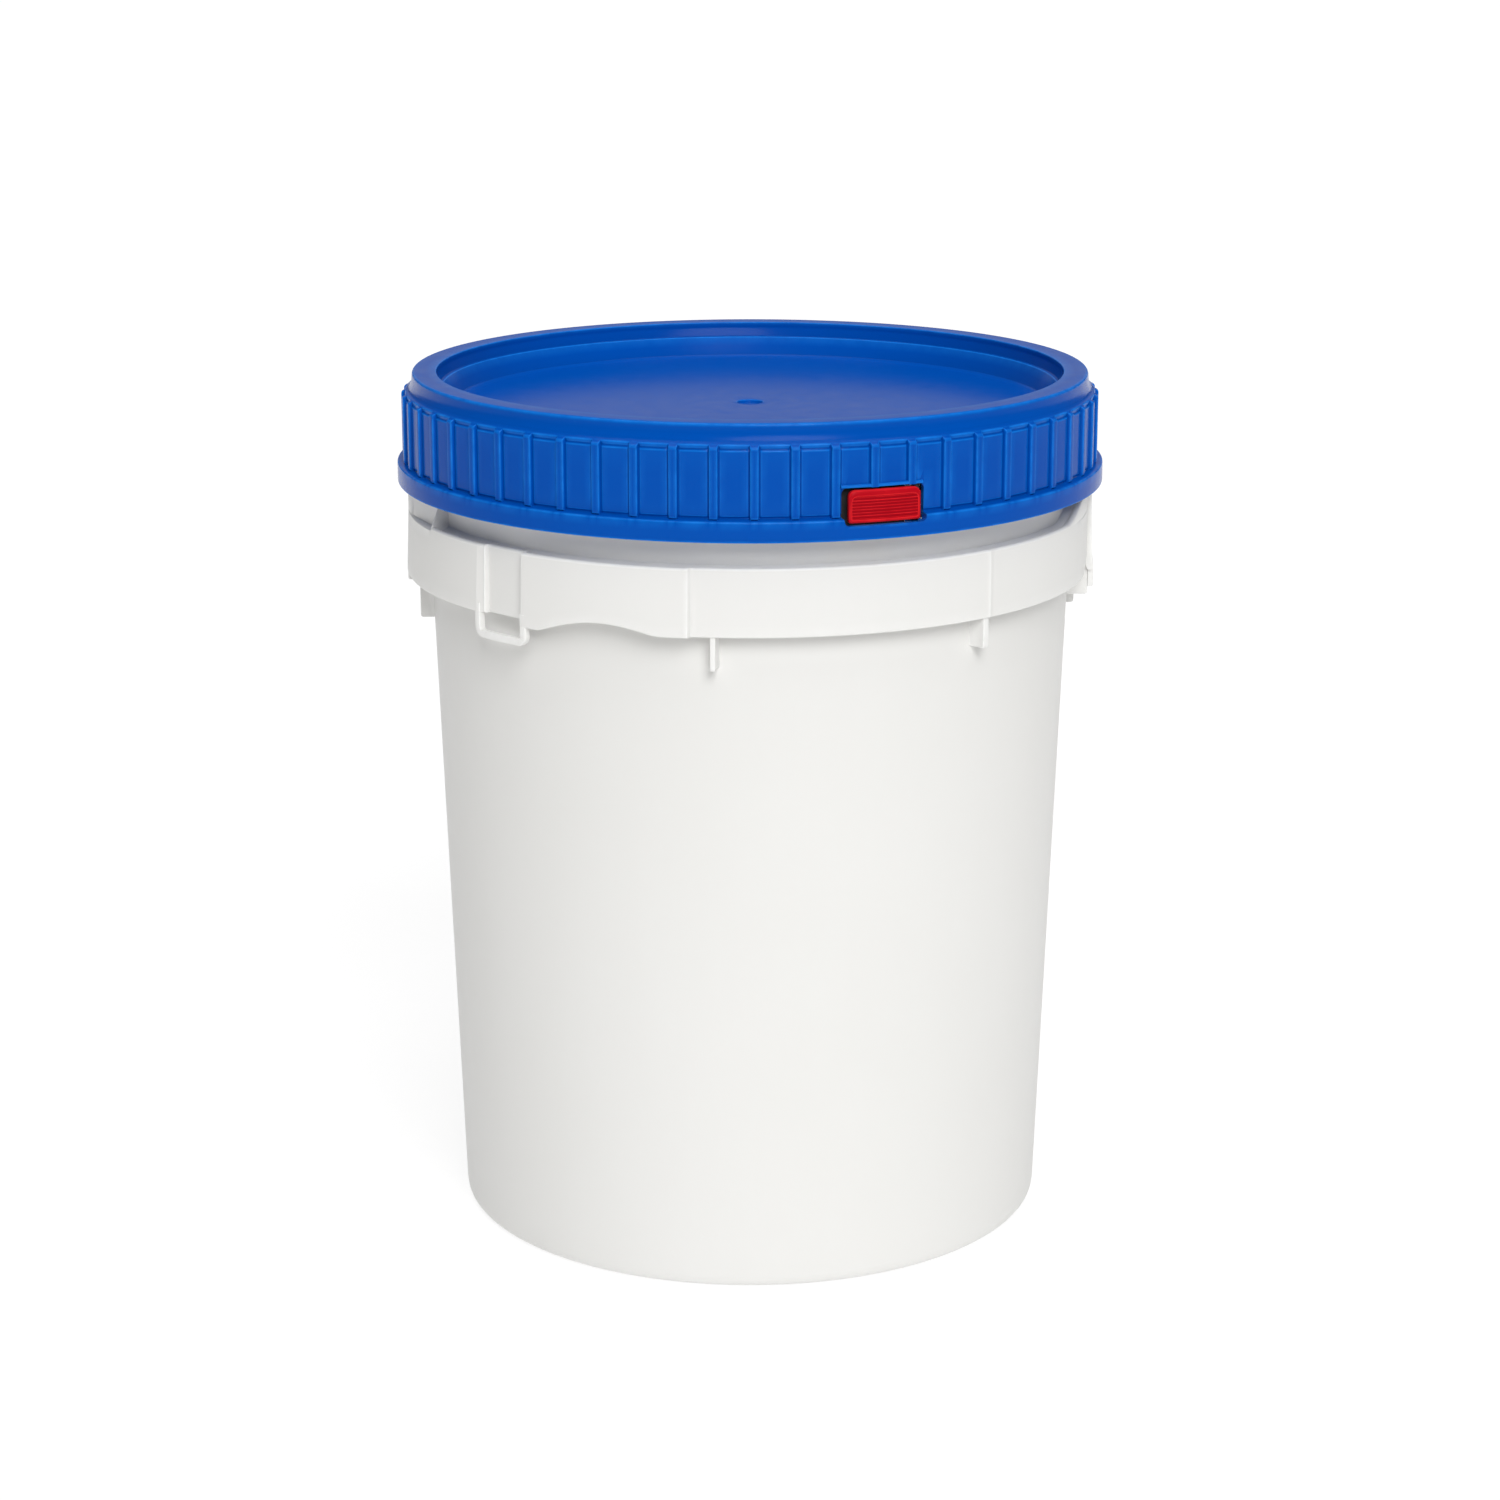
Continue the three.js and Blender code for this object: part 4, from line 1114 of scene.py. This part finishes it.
def latch_plate():
    """The curved plate: square back, softened edge, wide bevel on top, raised frame round the grip."""
    back = LATCH_FACE_R - LATCH_THICKNESS
    # inset from the outline, radius, corner radii on top and below, share of the wide bevel
    loops = [
        (0.5, back, 1.8, 0.7, 0),
        (0.0, back + 0.5, 3.0, 1.0, 0),
        (0.0, LATCH_FACE_R - 1.1, 3.0, 1.0, 0),
    ]
    for a in (0.4, 0.8, 1.2, 1.5):
        inset = 0.85 - 0.85 * math.cos(a)
        loops.append((inset, LATCH_FACE_R - 1.1 + 1.05 * math.sin(a), 2.9, 1.0, math.sin(a) ** 2))
    loops += [
        (1.25, LATCH_FACE_R - 0.02, 2.2, 0.8, 1),
        (1.4, LATCH_FACE_R - 0.12, 2.0, 0.7, 1),
        (1.5, LATCH_FACE_R - 0.7, 1.9, 0.6, 1),
    ]
    rings = []
    for inset, radius, top_corner, low_corner, bevel in loops:
        low, high = LATCH_Z + inset, LATCH_TOP_Z - inset - bevel * TOP_BEVEL
        outline = plate_outline(LATCH_HALF - inset, (high - low) / 2, top_corner, low_corner)
        rings.append(latch_point(outline[:, 0], outline[:, 1] + (low + high) / 2, radius))
    count = len(rings[0])
    points = np.concatenate(rings)
    faces = [tuple(f) for f in grid_faces(len(rings), count, False, True)]
    half = LATCH_HALF - 0.9
    fill = grid_patch(half, LATCH_Z + 0.9, LATCH_TOP_Z - 0.9, lambda x, z: back + 0 * x)
    grip = grid_patch(LATCH_HALF - 1.45, LATCH_Z + 1.45, LATCH_TOP_Z - 1.45 - TOP_BEVEL, grip_radius)
    return join((points, faces), fill, grip)


def plate_outline(half_a, half_b, top_corner, low_corner):
    """A rounded rectangle with points along its long sides, so that it can bend round the pail."""
    corners = []
    for quarter, (sa, sb) in enumerate(((1, 1), (-1, 1), (-1, -1), (1, -1))):
        radius = top_corner if sb > 0 else low_corner
        for turn in np.linspace(0, 1, 6):
            angle = math.pi / 2 * (quarter + turn)
            centre = np.array([sa * (half_a - radius), sb * (half_b - radius)])
            corners.append(centre + radius * np.array([math.cos(angle), math.sin(angle)]))
    made = []
    for before, after in zip(corners, np.roll(corners, -1, axis=0)):
        run, rise = np.abs(after - before)
        steps = 12 if run > half_a else (4 if rise > half_b else 1)
        made += [before + (after - before) * k / steps for k in range(steps)]
    return np.array(made)


def grip_radius(x, z):
    """Fine level ridges across the latch's face."""
    share = (z - GRIP_LOW) / (GRIP_HIGH - GRIP_LOW)
    return LATCH_FACE_R - 0.48 + 0.26 * np.abs(np.sin(math.pi * GRIP_LINES * share)) ** 0.7


def grid_patch(half_a, low, high, radius):
    """A rectangular patch of the curved plate, with its own radius at each point."""
    x = np.linspace(-half_a, half_a, 25)[:, None]
    z = np.linspace(low, high, GRIP_LINES * 8 + 1)[None, :]
    x, z = np.broadcast_arrays(x, z)
    points = latch_point(x, z, radius(x, z))
    return points.reshape(-1, 3), [tuple(f) for f in grid_faces(*x.shape, False, False)]


def latch_body():
    """The tab: its plate, two knuckles round the pin, the pawl and the hook that the spring pulls."""
    knuckle = 0.3 * (LATCH_TOP_Z - LATCH_Z)
    root_y = LATCH_THICKNESS - LATCH_FACE_R - 0.8
    parts = [
        post(PIN_X, PIN_Y, KNUCKLE_R, LATCH_Z, LATCH_Z + knuckle),
        post(PIN_X, PIN_Y, KNUCKLE_R, LATCH_TOP_Z - knuckle, LATCH_TOP_Z - SLEEVE),
        box_part((PAWL_X - PAWL_HALF, root_y, PAWL_Z[0]), (PAWL_X + PAWL_HALF, PAWL_TIP_Y, PAWL_Z[1])),
        box_part((HOOK_X[0], root_y, HOOK_Z[0]), (HOOK_X[1], HOOK_TIP_Y, HOOK_Z[1]), 0.25),
    ]
    return join(*(placed_at_latch(p) for p in (latch_plate(), *parts)))


def latch_pin():
    low, high = WINDOW[2] - PIN_PAST_WINDOW, WINDOW[3] + PIN_PAST_WINDOW
    return placed_at_latch(post(PIN_X, PIN_Y, PIN_R, low, high, sides=32, bevel=0.35))


def latch_spring():
    """A torsion spring round the pin: one leg behind the plate, the other against the skirt."""
    low, high = SPRING_Z
    turns = np.linspace(0, SPRING_TURNS, SPRING_TURNS * 32 + 1)
    angle = math.pi / 2 + turns * 2 * math.pi
    coil_x, coil_y = PIN_X + SPRING_R * np.cos(angle), PIN_Y + SPRING_R * np.sin(angle)
    coil = np.stack([coil_x, coil_y, low + (high - low) * turns / SPRING_TURNS], -1)
    leg_y = PIN_Y + SPRING_R
    first = [(PIN_X + x, leg_y, low) for x in (3.4, 2.2, 1.0)]
    last = [(PIN_X - 1.0, leg_y, high), (8.0, leg_y, high), (3.0, leg_y, high), (0.2, leg_y, high)]
    path = np.concatenate([first, coil, last])
    up = np.tile((0.0, 0.0, 1.0), (len(path), 1))
    return placed_at_latch(tube(path, up, circle(SPRING_WIRE_R, 12)))


piece("latch_plate", latch_body(), RED, "latch", node="latch_tab", sharp=50)
piece("latch_pin_steel", latch_pin(), STEEL, "lid", node="latch_pin")
piece("latch_spring_coil", latch_spring(), STEEL, "latch", node="latch_spring")


# ---- Floor, light and camera ----
def floor():
    """A plain pale floor."""
    mesh = bpy.data.meshes.new("floor")
    half = 30.0
    corners = [(-half, -half, 0), (half, -half, 0), (half, half, 0), (-half, half, 0)]
    mesh.from_pydata(corners, [], [(0, 1, 2, 3)])
    made = bpy.data.objects.new("floor", mesh)
    bpy.context.scene.collection.objects.link(made)
    material, tree, shader = new_material("pale_floor")
    grain = spread(tree, noise(tree, 3, 4), 0.3, 0.7)
    base = mixed(tree, grain, (0.27, 0.27, 0.27), (0.24, 0.24, 0.24))
    tree.links.new(base, shader.inputs["Base Color"])
    shader.inputs["Roughness"].default_value = 0.9
    shader.inputs["Specular IOR Level"].default_value = 0.1
    shader.inputs["Emission Color"].default_value = (1, 1, 1, 1)
    shader.inputs["Emission Strength"].default_value = 0.77
    mesh.materials.append(material)


def direction_to(bearing, elevation):
    """The direction from the pail towards a light."""
    a, e = math.radians(bearing), math.radians(elevation)
    return Vector((math.sin(a) * math.cos(e), -math.cos(a) * math.cos(e), math.sin(e)))


def softbox(name, bearing, elevation, distance, size, power, target=(0, 0, 0.25)):
    """A rectangular soft light that faces the pail."""
    light = bpy.data.lights.new(name, "AREA")
    light.shape = "RECTANGLE"
    light.size, light.size_y = size
    light.energy = power
    made = bpy.data.objects.new(name, light)
    direction = direction_to(bearing, elevation)
    made.location = Vector(target) + direction * distance
    made.rotation_mode = "QUATERNION"
    made.rotation_quaternion = direction.to_track_quat("Z", "Y")
    bpy.context.scene.collection.objects.link(made)


def distant_light(name, bearing, elevation, width, strength):
    """An even light from far away. width is the angle it fills, in degrees."""
    light = bpy.data.lights.new(name, "SUN")
    light.angle = math.radians(width)
    light.energy = strength
    made = bpy.data.objects.new(name, light)
    direction = direction_to(bearing, elevation)
    made.rotation_mode = "QUATERNION"
    made.rotation_quaternion = direction.to_track_quat("Z", "Y")
    bpy.context.scene.collection.objects.link(made)


def studio():
    world = bpy.data.worlds.new("studio")
    world.use_nodes = True
    sky = world.node_tree.nodes["Background"]
    sky.inputs["Color"].default_value = (1, 1, 1, 1)
    sky.inputs["Strength"].default_value = 0.09
    bpy.context.scene.world = world
    distant_light("key_light", 12, 36, 32, 2.05)
    distant_light("top_light", 0, 89, 60, 1.75)
    softbox("back_light", 180, 17, 4.0, (3.4, 1.4), 5)
    bpy.context.scene.view_settings.view_transform = "Standard"


def camera():
    lens = bpy.data.cameras.new("camera")
    lens.lens = 84.44
    lens.sensor_width = 36
    lens.clip_end = 100
    made = bpy.data.objects.new("camera", lens)
    made.location = (0, -1.5047, 0.6055)
    made.rotation_euler = (math.radians(90 - 15.04), 0, 0)
    bpy.context.scene.collection.objects.link(made)
    bpy.context.scene.camera = made


floor()
studio()
camera()
